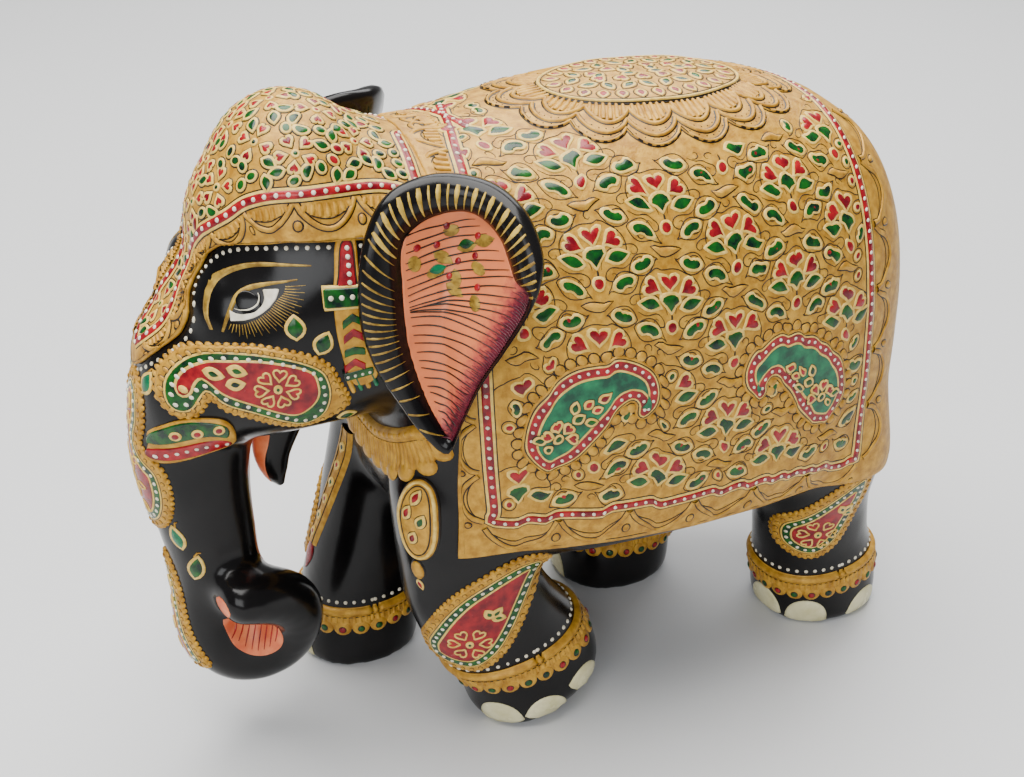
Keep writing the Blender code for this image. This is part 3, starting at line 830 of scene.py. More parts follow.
def festoon(inks, chart, a, b, drop, tear=True):
    """A double-lined garland hanging between two points towards the drop vector."""
    t = np.linspace(0, 1, 17)[:, None]
    a, b, drop = (np.asarray(p, float) for p in (a, b, drop))
    path = a * (1 - t) + b * t + drop * (np.sin(np.pi * t) ** 0.75)
    ribbon(inks.line, chart, path, 1.9, 0.12)
    ribbon(inks.gilt, chart, path, 1.15, 0.44)
    inner = a * (1 - t) + b * t + drop * 0.64 * (np.sin(np.pi * t) ** 0.75)
    ribbon(inks.line, chart, inner[2:-2], 0.34, 0.12)
    if not tear:
        return
    length = np.linalg.norm(drop)
    tip = b + drop / length * (length * 0.62)
    angle = math.degrees(math.atan2(drop[0], drop[1]))
    loop = placed(blob(length * 0.36, length * 0.26), *tip, angle)
    pad(inks.line, chart, loop, 0.10, 0, 0.34, 0.1)
    pad(inks.gilt, chart, loop, 0.45, 0, 0.0, 0.5)


def festoon_row(inks, chart, path, pitch, drop):
    """Garlands one after another along a path, hanging to its right."""
    spots = resampled(smooth(path), pitch)
    for a, b in zip(spots, spots[1:]):
        ahead = (b - a) / np.linalg.norm(b - a)
        out = np.array([ahead[1], -ahead[0]]) * drop
        festoon(inks, chart, a + ahead * 0.4, b - ahead * 0.4, out)


def inset(loop, amount):
    """The loop moved inwards, or outwards where the amount is negative."""
    return loop - normals_2d(loop) * amount


def cloth_paisley(inks, chart, points):
    """A teal paisley with a dotted red border, inside a row of gold beads."""
    loop = resampled(smooth(points, True), 0.8, True)
    for bead in resampled(inset(loop, -1.45), 2.7, True):
        disc = blob(2.3, 2.3) - np.array([0, 1.15]) + bead
        pad(inks.line, chart, disc, 0.08, 0, 0.3, 0.1)
        pad(inks.gilt, chart, disc, 0.5, 0, 0, 0.5)
    field(inks.gilt, chart, inset(loop, -0.55), 0.34, rounding=0.3)
    field(inks.line, chart, inset(loop, -0.15), 0.40, rounding=0.2)
    field(inks.cream, chart, inset(loop, 0.15), 0.48, rounding=0.2)
    field(inks.red, chart, inset(loop, 0.5), 0.56, rounding=0.2)
    dots(inks.white, chart, resampled(inset(loop, 1.45), 2.1, True), 0.42, 0.26, 0.54, 8)
    field(inks.cream, chart, inset(loop, 2.35), 0.62, rounding=0.2)
    field(inks.teal, chart, inset(loop, 2.75), 0.68, rounding=0.25)


def paisley_filling(inks, chart, x, y, turn, flip):
    """A rosette of hearts in a cloth paisley's round end, and leaves that climb its tail."""
    lift = 0.66

    def put(loop, a, b, angle, kind):
        base = placed(placed(loop, a, b, angle), x, y, turn, 1.0, flip)
        pad(inks.line, chart, base, 0.07, lift, 0.55, 0.1)
        pad(inks.cream, chart, base, 0.22, lift, 0.36, 0.1)
        pad(getattr(inks, kind), chart, base, 0.32, lift, 0.0, 0.4)

    for k in (-2, -1, 0, 1):
        a = math.radians(k * 52)
        put(heart(2.3, 2.4), 1.5 * math.sin(a), 0.2 + 1.5 * math.cos(a), k * 52, "red")
    put(blob(1.8, 1.6), 0, -1.0, 0, "green")
    put(blob(1.4, 1.4), -0.6, -3.4, 0, "green")
    put(leaf(2.8, 1.5), -2.6, -1.4, -150, "green")
    for a, b, angle, kind, size in ((-0.2, 5.0, 10, "green", 3.0), (-1.6, 6.6, -28, "green", 2.8),
                                    (1.8, 6.8, 35, "green", 2.6), (-0.7, 9.4, 0, "red", 2.4),
                                    (1.1, 10.0, 22, "red", 2.2), (0.4, 12.8, 20, "red", 2.8)):
        put(leaf(size, size * 0.58), a, b, angle, kind)


def dress_flank(side):
    """One flank: its red border, rows of sprigs, two paisleys and the garlands outside the border."""
    chart = flanks[side]
    inks = Set("flank_l" if side > 0 else "flank_r")
    outline = np.array(FRONT_RED + HEM_RED + REAR_RED)
    inks.band(chart, smooth(outline, False, 5), width=2.2, bead=0.46, pitch=2.45)
    garden = Garden(inks, chart, free_cloth)
    for column in range(-1, 5):
        for row in range(-1, 6):
            w = 18.6 - (0 if column % 2 else 10.6) + 21.2 * row
            garden.sprig(-7.5 + 16 * column + 0.05 * w, w, 0.96)
    garden.filler((-26, 14), (66, 122))
    for points in PAISLEYS:
        cloth_paisley(inks, chart, points)
    paisley_filling(inks, chart, -14.2, 31.0, 42, 1)
    paisley_filling(inks, chart, 52.4, 30.5, -42, -1)
    hem = ((-30, 8.6), (-10, 9.2), (10, 9.3), (30, 9.0), (50, 8.0), (69, 5.6))
    festoon_row(inks, chart, hem, 13.4, 6.2)
    front = ((-30.2, 74), (-31, 58), (-31.4, 42), (-31, 26), (-29.8, 10))
    festoon_row(inks, chart, front, 11.5, 4.2)
    rear = ((70.6, 8), (70.8, 22), (70.2, 40), (69.4, 60), (69, 80), (69, 98))
    festoon_row(inks, chart, rear, 13.4, 6.0)
    neck = np.array([(-22.4, 117), (-24.4, 107.5), (-26.0, 97.5), (-27.4, 86.5), (-29.4, 76)])
    for a, b in zip(neck, neck[1:]):
        fan(inks, chart, b + (0, 0.5), a - (0, 0.5), np.array([-6.0, -0.5]), 6, tear=False)
    rim = ((-35.4, 64), (-35.4, 40), (-35.2, 12), (-34.6, 2.2), (-30, 1.4), (0, 1.2), (40, 1.2), (70, 1.2))
    ribbon(inks.line, chart, resampled(smooth(rim), 1.0), 0.4, 0.12)


def fan(inks, chart, a, b, drop, flutes=7, tear=True):
    """A double-lined scallop with flutes inside it and a teardrop beyond its far foot."""
    festoon(inks, chart, a, b, drop, tear)
    a, b, drop = (np.asarray(p, float) for p in (a, b, drop))
    for k in range(flutes):
        t = (k + 1) / (flutes + 1)
        foot = a * (1 - t) + b * t
        reach = drop * 0.56 * math.sin(math.pi * t) ** 0.75
        lean = (b - a) * (t - 0.5) * 0.10
        path = np.linspace(foot + drop * 0.06, foot + reach + lean, 6)
        ribbon(inks.gilt, chart, path, np.linalg.norm(b - a) / (flutes + 1.2), 0.42,
               taper=((0, 0.7), (0.6, 1), (1, 0.7)))
        dots(inks.line, chart, [path[-1]], 0.17, 0.10, 0.25, 6)


def oval_ring(grow, count=None):
    """Points at an even spacing round the medallion's oval, grown outwards."""
    turn = np.linspace(0, 2 * np.pi, 240, endpoint=False)
    ring = OVAL_MIDDLE + np.stack([np.sin(turn), np.cos(turn)], 1) * (OVAL_HALF + grow)
    if count is None:
        return resampled(ring, 1.0, True)
    return resampled(ring, np.linalg.norm(np.diff(ring, axis=0), axis=1).sum() / count, True)[:count]


def medallion():
    """The oval on the ridge with its rings of scallops."""
    inks = Set("ridge", gilt=("back_medallion",))
    field(inks.line, ridge, oval_ring(0.5), 0.30, rounding=0.2)
    field(inks.gilt, ridge, oval_ring(0.1), 0.55, rounding=0.3)
    ribbon(inks.line, ridge, oval_ring(-0.75), 0.32, 0.12, True, 0.55)
    ribbon(inks.cream, ridge, oval_ring(-0.15), 0.7, 0.3, True, 0.5)
    ribbon(inks.line, ridge, oval_ring(0.75), 0.4, 0.3, True)
    for grow, count, kind, loop in ((-3.0, 26, "red", leaf(3.1, 2.0)), (-7.4, 18, "green", leaf(4.0, 2.1)),
                                    (-11.6, 11, "red", heart(2.9, 3.0)), (-14.0, 6, "green", leaf(3.4, 2.0))):
        for k, spot in enumerate(oval_ring(grow, count)):
            out = (spot - OVAL_MIDDLE) / OVAL_HALF ** 2
            angle = math.degrees(math.atan2(out[0], out[1])) + (0 if kind == "red" else 38 * (-1) ** k)
            shape = placed(loop - loop.mean(0), *spot, angle)
            pad(inks.line, ridge, shape, 0.08, 0.55, 0.75, 0.1)
            pad(inks.gilt, ridge, shape, 0.16, 0.55, 0.50, 0.1)
            pad(inks.cream, ridge, shape, 0.24, 0.55, 0.36, 0.1)
            pad(getattr(inks, kind), ridge, shape, 0.36, 0.55, 0.0, 0.45)
    feet = [oval_ring(grow, 15) for grow in (2.2, 5.8, 8.6)]
    for row, (reach, thick) in enumerate(((5.4, 1.1), (5.2, 1.0), (5.0, 0.8))):
        for k in range(15):
            a, b = feet[row][k], feet[row][(k + 1) % 15]
            out = (a + b) / 2 - OVAL_MIDDLE
            out = out / OVAL_HALF ** 2
            out /= np.linalg.norm(out)
            t = np.linspace(0, 1, 15)[:, None]
            arc = a * (1 - t) + b * t + out * reach * np.sin(np.pi * t) ** 0.62
            ribbon(inks.line, ridge, arc, thick + 0.75, 0.16)
            ribbon(inks.gilt, ridge, arc, thick, 0.52)
            if row == 0:
                for j in range(6):
                    u = (j + 0.8) / 6.6
                    foot = a * (1 - u) + b * u - out * 1.2
                    tip = foot + out * (1.6 + 4.0 * math.sin(math.pi * u) ** 0.62) + (b - a) * (u - 0.5) * 0.1
                    path = np.linspace(foot, tip, 6)
                    ribbon(inks.gilt, ridge, path, 1.55, 0.46, taper=((0, 0.5), (0.6, 1), (1, 0.7)))
                    dots(inks.line, ridge, [foot + out * 0.2], 0.22, 0.12, 0.3, 6)
            else:
                dots(inks.line, ridge, arc[2:-2:2] - out * 1.35, 0.20, 0.12, 0.0, 6)
            if row == 2:
                for p, q in zip(arc[1:-1:2], arc[2::2]):
                    ribbon(inks.line, ridge, np.linspace(p + out * 0.35, q + out * 0.35, 3), 0.26, 0.62)


for one in (1, -1):
    dress_flank(one)
medallion()


# ---------------------------------------------------------------- local charts
class Spot:
    """A small patch of surface seen from above one of its points: across and up."""

    def __init__(self, tree, point, up=(0, 0, 1), out=None):
        near, normal = tree.find_nearest(Vector(point) * MM)[:2]
        self.tree, self.middle = tree, near
        self.out = Vector(out).normalized() if out is not None else normal.copy()
        self.across = Vector(up).cross(self.out).normalized()
        self.up = self.out.cross(self.across)

    def at(self, uv, height=0.0):
        uv = np.asarray(uv, float)
        heights = np.broadcast_to(np.asarray(height, float), uv.shape[:1])
        points = []
        for (u, v), h in zip(uv, heights):
            over = self.middle + (self.across * u + self.up * v) * MM
            hit, normal = self.tree.ray_cast(over + self.out * 0.008, -self.out, 0.024)[:2]
            if hit is None:
                hit, normal = self.tree.find_nearest(over)[:2]
            points.append(hit + normal * (h * MM))
        return np.array(points)


class Strip:
    """A band of surface along a path: the run along it, and the distance to its near side."""

    def __init__(self, tree, points, closed=False, hand=1.0):
        self.tree, self.closed = tree, closed
        path = smooth(points, closed, 8)
        if closed:
            path = np.vstack([path, path[:1]])
        near = [tree.find_nearest(Vector(p) * MM) for p in path]
        place = np.array([hit[0] for hit in near]) / MM
        normal = np.array([hit[1] for hit in near])
        run = np.concatenate([[0], np.cumsum(np.linalg.norm(np.diff(place, axis=0), axis=1))])
        self.length = run[-1]
        self.spots = np.arange(0, self.length + 0.5, 0.5)
        self.place = self.even(np.stack([np.interp(self.spots, run, c) for c in place.T], 1), 2)
        normal = self.even(np.stack([np.interp(self.spots, run, c) for c in normal.T], 1), 4)
        ahead = np.gradient(self.place, axis=0)
        if closed:
            ahead[0] = ahead[-1] = self.place[1] - self.place[-2]
        side = np.cross(normal, ahead) * hand
        self.side = side / np.linalg.norm(side, axis=1, keepdims=True)

    def even(self, values, turns):
        for _ in range(turns):
            if self.closed:
                around = np.vstack([values[-2:-1], values, values[1:2]])
            else:
                around = np.vstack([2 * values[0] - values[1], values, 2 * values[-1] - values[-2]])
            values = (around[:-2] + 2 * around[1:-1] + around[2:]) / 4
        return values

    def at(self, uv, height=0.0):
        uv = np.asarray(uv, float)
        heights = np.broadcast_to(np.asarray(height, float), uv.shape[:1])
        s = uv[:, 0] % self.length if self.closed else np.clip(uv[:, 0], 0, self.length)
        place = np.stack([np.interp(s, self.spots, c) for c in self.place.T], 1)
        side = np.stack([np.interp(s, self.spots, c) for c in self.side.T], 1)
        over = place + side * uv[:, 1:]
        points = []
        for p, h in zip(over, heights):
            hit, normal = self.tree.find_nearest(Vector(p) * MM)[:2]
            points.append(hit + normal * (h * MM))
        return np.array(points)

    def line(self, t=0.0, start=0.0, stop=None):
        """Chart coordinates of a line that keeps one distance from the path."""
        stop = self.length if stop is None else stop
        count = max(3, int((stop - start) / 0.8))
        s = np.linspace(start, stop, count, endpoint=not self.closed)
        return np.stack([s, np.full(count, t)], 1)


def clipped(obj, keep):
    """Cut a mesh off cleanly where a function of position in millimetres falls below zero."""
    bm = bmesh.new()
    bm.from_mesh(obj.data)
    values = keep(np.array([v.co[:] for v in bm.verts]) / MM)
    bmesh.ops.delete(bm, geom=[v for v, a in zip(bm.verts, values) if a < -3], context="VERTS")
    level = dict(zip(bm.verts, keep(np.array([v.co[:] for v in bm.verts]) / MM)))
    for edge in list(bm.edges):
        a, b = edge.verts
        if (level[a] > 0) != (level[b] > 0) and level[a] != 0 and level[b] != 0:
            fresh = bmesh.utils.edge_split(edge, a, level[a] / (level[a] - level[b]))[1]
            level[fresh] = 0.0
    for face in list(bm.faces):
        crossing = [v for v in face.verts if level[v] == 0.0]
        if len(crossing) == 2:
            bmesh.utils.face_split(face, *crossing)
    gone = [f for f in bm.faces if sum(level[v] for v in f.verts) < 0]
    bmesh.ops.delete(bm, geom=gone, context="FACES")
    bmesh.ops.triangulate(bm, faces=[f for f in bm.faces if len(f.verts) > 4])
    bm.to_mesh(obj.data)
    bm.free()


def shrunk(loop, amount):
    """A loop moved inwards by an amount, without the folds that leaves in narrow places."""
    loop = resampled(loop, 0.5, True)
    moved = loop - normals_2d(loop) * amount
    a, b = loop, np.roll(loop, -1, 0)
    seg = b - a
    t = ((moved[:, None] - a[None]) * seg[None]).sum(2) / (seg ** 2).sum(1)[None]
    nearest = a[None] + seg[None] * np.clip(t, 0, 1)[..., None]
    gap = np.linalg.norm(moved[:, None] - nearest, axis=2).min(1)
    good = moved[(gap > amount * 0.97) & (inside(moved, loop))]
    return resampled(good, 0.6, True) if len(good) > 12 else None


BRUSH_GOLD = paint("brush_gold", (0.16, 0.085, 0.008), (0.46, 0.29, 0.04), 500, 0.38,
                   metallic=0.2)


# ---------------------------------------------------------------- the head cloth
def head_keep(p):
    """Positive inside the head cloth's outline."""
    x, y, z = np.abs(p[:, 0]), p[:, 1] - Y0, p[:, 2]
    low = np.interp(y, (-104, -79, -74, -65, -49, -33.6), (131, 131, 132.6, 134.2, 133.7, 134))
    half = np.interp(z, (103.4, 105.2, 109.2, 113.4, 117.9, 121.5, 125, 129.3, 132.6, 136, 137),
                     (0, 3, 7.1, 10, 11.2, 8.4, 6.8, 8.6, 12.5, 13, 60))
    tongue = np.minimum(np.minimum(half - x, -60 - y), z - 103.4)
    return np.minimum(np.maximum(z - low, tongue), -33.6 - y)


head = swollen(wood, "head_gold", 1.25, GILT)
clipped(head, head_keep)
edged(head, 1.5)
settle(head, "head_cloth")
head_tree = tree_of(head)

# Paths over the head's left half, ahead of the centring shift.
HEAD_EDGE = ((25, -36, 134), (23.8, -49.4, 133.7), (19.7, -64.7, 134.3), (12.5, -73.5, 132.6),
             (8.6, -77, 129.3), (6.8, -79, 125), (8.4, -81.7, 121.5), (11.2, -82.9, 117.9),
             (10, -84.8, 113.4), (7.1, -89.1, 109.2), (3, -92, 105.4), (0, -93, 103.9))
HEAD_BAND = ((21, -36, 138.6), (19, -45, 141.3), (19.1, -59.8, 142.4), (16.6, -65.3, 142),
             (13.2, -69.2, 140.0), (10.3, -72.9, 136.4), (5.6, -76.4, 132.2), (2.9, -78.6, 127.6),
             (3.0, -82, 121.5), (4.6, -84.6, 117), (4.2, -86.5, 112.6), (2.4, -89, 109),
             (0, -91, 107.2))
NECK_BAND = ((0, -35.6, 145), (8.3, -36, 144.3), (16.7, -36.6, 140.9), (22, -36.8, 136),
             (24, -36.8, 133.4))


def on_side(points, side):
    """A path over the left half, shifted with the part and mirrored for the right half."""
    return [(x * side, y + Y0, z) for x, y, z in points]


def head_side(side):
    """Half of the head cloth's borders, with the scallops between them and dots on the wood."""
    inks = Set("head_l" if side > 0 else "head_r")
    band = Strip(head_tree, on_side(HEAD_BAND, side), hand=side)
    inks.band(band, band.line(0, 1.5), width=2.2, bead=0.52, pitch=2.35)
    neck = Strip(head_tree, on_side(NECK_BAND, side), hand=-side)
    inks.band(neck, neck.line(0), width=2.2, bead=0.52, pitch=2.35)
    edge = Strip(head_tree, on_side(HEAD_EDGE, side), hand=side)
    ribbon(inks.gilt, edge, edge.line(-0.6), 1.1, 0.35)
    ribbon(inks.line, edge, edge.line(-1.5), 0.32, 0.1)
    for start, stop, reach in ((2, 14.5, 5.6), (14.5, 27, 5.4), (27, 39, 4.6), (39, 48, 3.8),
                               (48, 56, 3.2), (56, 64, 3.4), (64, 72, 4.0), (72, 80, 3.2)):
        if stop < band.length:
            fan(inks, band, (start + 0.4, 1.9), (stop - 0.4, 1.9), (0, reach))
    under = Strip(wood_tree, on_side(HEAD_EDGE, side), hand=side)
    dots(inks.white, under, resampled(under.line(2.0, 6.0), 2.05), 0.5, 0.3)
    return inks


def dome_keep(p):
    """Positive inside the red band, where the dome's flowers lie."""
    x, y, z = np.abs(p[:, 0]), p[:, 1] - Y0, p[:, 2]
    low = np.interp(y, (-85, -79, -72.5, -69, -65.3, -59.8, -45, -36.5),
                    (133, 133, 138, 140.6, 142.2, 142.6, 141.5, 138.6)) + 2.6
    half = np.interp(z, (107, 109, 112.6, 117, 121.5, 127, 133.4, 138, 141),
                     (0, 2.4, 4.4, 4.8, 3.2, 3.6, 7.4, 10.9, 14)) - 2.0
    half = np.where(y > -60, -9, half)
    return np.minimum(np.maximum(z - low, half - x), -38.6 - y)


def scattered(mesh, keep, gap, seed):
    """Evenly scattered points of a mesh, no two nearer than the gap."""
    middles = np.empty(len(mesh.polygons) * 3)
    mesh.polygons.foreach_get("center", middles)
    middles = middles.reshape(-1, 3) / MM
    middles = middles[keep(middles) > 0]
    order = np.random.default_rng(seed).permutation(len(middles))
    chosen = np.empty((0, 3))
    for p in middles[order]:
        if len(chosen) == 0 or np.min(np.sum((chosen - p) ** 2, 1)) > gap ** 2:
            chosen = np.vstack([chosen, p])
    return chosen


def stamp(inks, chart, loop, kind, x, z, angle, **more):
    inks.gem(chart, placed(loop, x, z, angle), kind, **more)


def dome_flowers():
    """Rosettes of red petals on the dome, with green leaves packed between them."""
    inks = Set("dome")
    centres = scattered(head.data, lambda p: dome_keep(p) - 2.0, 8.4, 11)
    taken = []
    for k, centre in enumerate(centres):
        chart = Spot(head_tree, centre, (0.3, -0.4, 0.8))
        turn = rng.uniform(0, 72)
        petals = 5 if k % 3 else 4
        for i in range(petals):
            stamp(inks, chart, heart(2.5, 2.6), "red", 1.5 * math.sin(math.radians(turn + i * 360 / petals)),
                  1.5 * math.cos(math.radians(turn + i * 360 / petals)), turn + i * 360 / petals,
                  rim=0.24, line=0.24, height=0.34)
        stamp(inks, chart, blob(1.3, 1.3), "green" if k % 2 else "red", 0, -0.65, 0, rim=0.25, line=0)
        taken.append(centre)
    taken = np.array(taken)
    for centre in scattered(head.data, dome_keep, 2.5, 12):
        if np.min(np.sum((taken - centre) ** 2, 1)) < 4.1 ** 2:
            continue
        chart = Spot(head_tree, centre, (0.3, -0.4, 0.8))
        loop = (leaf(3.8, 2.3, rng.uniform(-0.3, 0.3)), bean(3.5, 2.1, 0.4), blob(2.6, 2.0))[rng.integers(3)]
        kind = "red" if rng.random() < 0.16 else "green"
        angle = rng.uniform(0, 360)
        shift = placed(np.array([[0, -1.5]]), 0, 0, angle)[0]
        stamp(inks, chart, loop, kind, shift[0], shift[1], angle, rim=0.2, line=0.3)


for one in (1, -1):
    head_side(one)
dome_flowers()


# ---------------------------------------------------------------- the face
faces = {side: ray_chart(wood_tree, (-96, -38), (74, 138), 0.8,
                         lambda u, v, s=side: ((s * 90, u, v), (-s, 0, 0))) for side in (1, -1)}

EYE = ((-75.6, 120.9), (-75.8, 118.9), (-73.4, 119.0), (-71.5, 119.5), (-69.8, 120.4), (-68.3, 121.6),
       (-67.0, 123.1), (-66.0, 125.0), (-68.9, 124.7), (-68.9, 123.1), (-69.6, 121.8),
       (-70.7, 120.9), (-71.9, 120.4), (-73.4, 120.1), (-74.7, 120.3))
IRIS = (-72.0, 122.1)
ARC = ((-74.7, 121.2), (-73.5, 120.9), (-71.8, 121.1), (-70.4, 122.0), (-69.8, 123.2), (-69.8, 124.0))
LID = ((-77.5, 116.6), (-76.5, 119.1), (-75.1, 121.6), (-73.6, 123.5), (-71.1, 124.8), (-67.6, 125.8),
       (-64.9, 126.3), (-62.5, 126.7))
BROW = ((-79.3, 116.7), (-79.7, 119.2), (-79.1, 121.9), (-77.7, 124.3), (-75.3, 126.4), (-71.4, 128.2),
        (-67.5, 129.1), (-63.7, 129.3), (-59.5, 129.1))
LASH_ROOTS = ((-75.8, 118.3), (-73.6, 118.2), (-70.8, 119.3), (-68.4, 121.0), (-66.9, 122.8),
              (-65.4, 124.2), (-64.9, 125.4))
LASH_TIPS = ((-76.6, 116.8), (-73.8, 115.4), (-70.1, 116.2), (-66.3, 117.6), (-63.8, 119.6),
             (-62.2, 122.4), (-61.2, 125.6))
CHEEK = ((-90.2, 99.8), (-89.6, 104.2), (-87.2, 108), (-83.4, 111.6), (-79, 113.6), (-73, 114.0),
         (-67, 112.8), (-61.8, 110.9), (-58.4, 108.2), (-56.4, 103.6), (-54.4, 98.2), (-58, 94.6),
         (-62.8, 92.9), (-68.2, 94.4), (-74, 97.5), (-78.8, 99.6), (-81.4, 102.0), (-84, 98.0), (-87.4, 96.9))
CHEEK_GREEN = ((-59.0, 104.3), (-60.6, 107.9), (-65.7, 110.7), (-72.7, 112.3), (-78.6, 112.2),
               (-82.5, 110.3), (-86.0, 106.9), (-88.1, 103.5), (-88.5, 100.1), (-87.1, 98.6),
               (-84.8, 99.4), (-82.8, 102.7), (-81.3, 104.2), (-78.6, 101.5), (-73.7, 99.5),
               (-68.0, 96.4), (-63.5, 94.6), (-60.1, 96.3), (-58.8, 100.4))
CHEEK_RED = ((-61.2, 104.7), (-62.2, 107.6), (-66.5, 109.7), (-72.8, 110.9), (-78.9, 110.4),
             (-81.8, 109.1), (-84.6, 106.8), (-86.3, 104.1), (-86.3, 102.3), (-85.4, 102.1),
             (-84.3, 103.2), (-83.6, 104.9), (-82.2, 106.6), (-80.8, 105.9), (-78.4, 103.7),
             (-73.6, 101.5), (-68.1, 98.7), (-65.0, 97.9), (-62.3, 99.8), (-61.1, 102.2))
STRAP = ((-50.4, 133.6), (-53.9, 133.6), (-55.4, 128), (-56.6, 121), (-56.2, 112.5), (-53.6, 103.2),
         (-48.6, 104.6), (-50.2, 112), (-50.4, 121), (-50.8, 128))


def ring_flower(inks, chart, x, z, size, petals, lift, turn=0.0):
    """Open cream rings round a small green drop."""
    for i in range(petals):
        angle = turn + i * 360 / petals
        a = math.radians(angle)
        reach = 1.9 * size
        loop = placed(heart(2.9, 3.0), x + reach * math.sin(a), z + reach * math.cos(a), angle, size)
        ribbon(inks.cream, chart, resampled(loop, 0.5, True), 0.46, 0.22, True, lift)
    inks.gem(chart, placed(blob(1.7, 1.3), x, z - 0.85 * size, 0, size), "green", 0.3, 0, 0.3, lift)


def plate(inks, chart, loop, lift):
    """A raised gold plate with a dark outline, a beaded edge and a row of ringed dots inside it."""
    field(inks.gilt, chart, loop, lift, rounding=0.4, pitch=1.1)
    field(inks.line, chart, inset(loop, -0.35), 0.12, rounding=0.1, pitch=2.0)
    dots(inks.gilt, chart, resampled(loop, 1.5, True), 0.66, lift * 0.85, 0, 8)
    rim = shrunk(loop, 1.0)
    if rim is not None:
        rim = resampled(rim, 2.1, True)
        dots(inks.line, chart, rim, 0.62, 0.12, lift, 8)
        dots(inks.gilt, chart, rim, 0.50, 0.30, lift, 8)


def royal_paisley(inks, chart, points, gold=2.2, green=1.9, fields=()):
    """A gold plate with a dotted green band round a red field. Returns the field's height."""
    lift = 0.8
    loop = resampled(smooth(points, True, 5), 0.7, True)
    plate(inks, chart, loop, lift)
    if fields:
        band, middle = (resampled(smooth(f, True, 4), 0.6, True) for f in fields)
    else:
        band, middle = shrunk(loop, gold + 0.35), shrunk(loop, gold + 0.75 + green)
    levels = ((band, 0.55, "line", 0.04), (band, 0.35, "cream", 0.1), (band, 0, "green", 0.16),
              (middle, 0.4, "cream", 0.24), (middle, 0, "red", 0.30))
    for inner, swell, kind, up in levels:
        if inner is not None:
            grown = inset(inner, -swell) if swell else inner
            field(getattr(inks, kind), chart, grown, lift + up, rounding=0.15, pitch=1.1, sink=0)
    row = shrunk(band, green / 2)
    if row is not None:
        dots(inks.white, chart, resampled(row, 2.05, True), 0.46, 0.26, lift + 0.14, 8)
    return lift + 0.30


def face_side(side):
    """One side of the face: eye, brow, lashes, cheek paisley, loose drops and temple strap."""
    chart = faces[side]
    which = "left" if side > 0 else "right"
    inks = Set("face_" + which[0], gilt=(which + "_cheek_paisley", which + "_temple_strap"))
    gold = Ink("brush_l" if side > 0 else "brush_r", BRUSH_GOLD)
    black = Ink("iris_l" if side > 0 else "iris_r", LACQUER)
    ball = blob(4.5, 4.5, 28) + np.array([0, -2.25]) + np.array(IRIS)
    pad(black, chart, ball, 0.5, 0, 0, 0.5)
    field(inks.white, chart, resampled(np.array(EYE), 0.4, True), 0.30, rounding=0.1, pitch=0.6)
    ribbon(inks.white, chart, smooth(ARC), 0.32, 0.08, lift=0.48, taper=((0, 0.1), (0.4, 1), (1, 0.5)))
    ribbon(gold, chart, resampled(smooth(LID), 0.6), 0.95, 0.22,
           taper=((0, 0.5), (0.2, 0.9), (0.6, 1), (1, 0.3)))
    ribbon(gold, chart, resampled(smooth(BROW), 0.6), 1.0, 0.24,
           taper=((0, 0.6), (0.2, 1), (0.7, 0.9), (1, 0.3)))
    roots, tips = resampled(LASH_ROOTS, 0.5), resampled(LASH_TIPS, 0.5)
    for k in range(30):
        t = k / 29
        a = np.array([np.interp(t, np.linspace(0, 1, len(roots)), roots[:, i]) for i in range(2)])
        b = np.array([np.interp(t, np.linspace(0, 1, len(tips)), tips[:, i]) for i in range(2)])
        b = a + (b - a) * (1.0 if k % 2 else 0.75)
        ribbon(gold, chart, np.linspace(a, b, 5), 0.27, 0.1, taper=((0, 1), (1, 0.3)))
    flat = royal_paisley(inks, chart, CHEEK, fields=(CHEEK_GREEN, CHEEK_RED))
    ring_flower(inks, chart, -68.8, 104.8, 0.9, 7, flat, 10)
    for y, z, angle in ((-81.2, 108.1, 100), (-77.2, 109.4, 105), (-77.8, 105.9, 80)):
        inks.gem(chart, placed(leaf(3.0, 2.0), y, z, angle), "green", 0.35, 0, 0.3, flat)
    dots(inks.cream, chart, [(-85.3, 103.4)], 0.8, 0.4, flat)
    for y, z, loop, angle in ((-64.4, 115.2, leaf(4.6, 3.2), 0), (-60.4, 111.6, leaf(4.6, 3.2), 28),
                              (-55.6, 92.8, leaf(3.4, 2.4), 80)):
        inks.gem(chart, placed(loop, y, z, angle), "green", 0.5, 0, 0.5, 0.05)
    strap(inks, chart)
    return inks


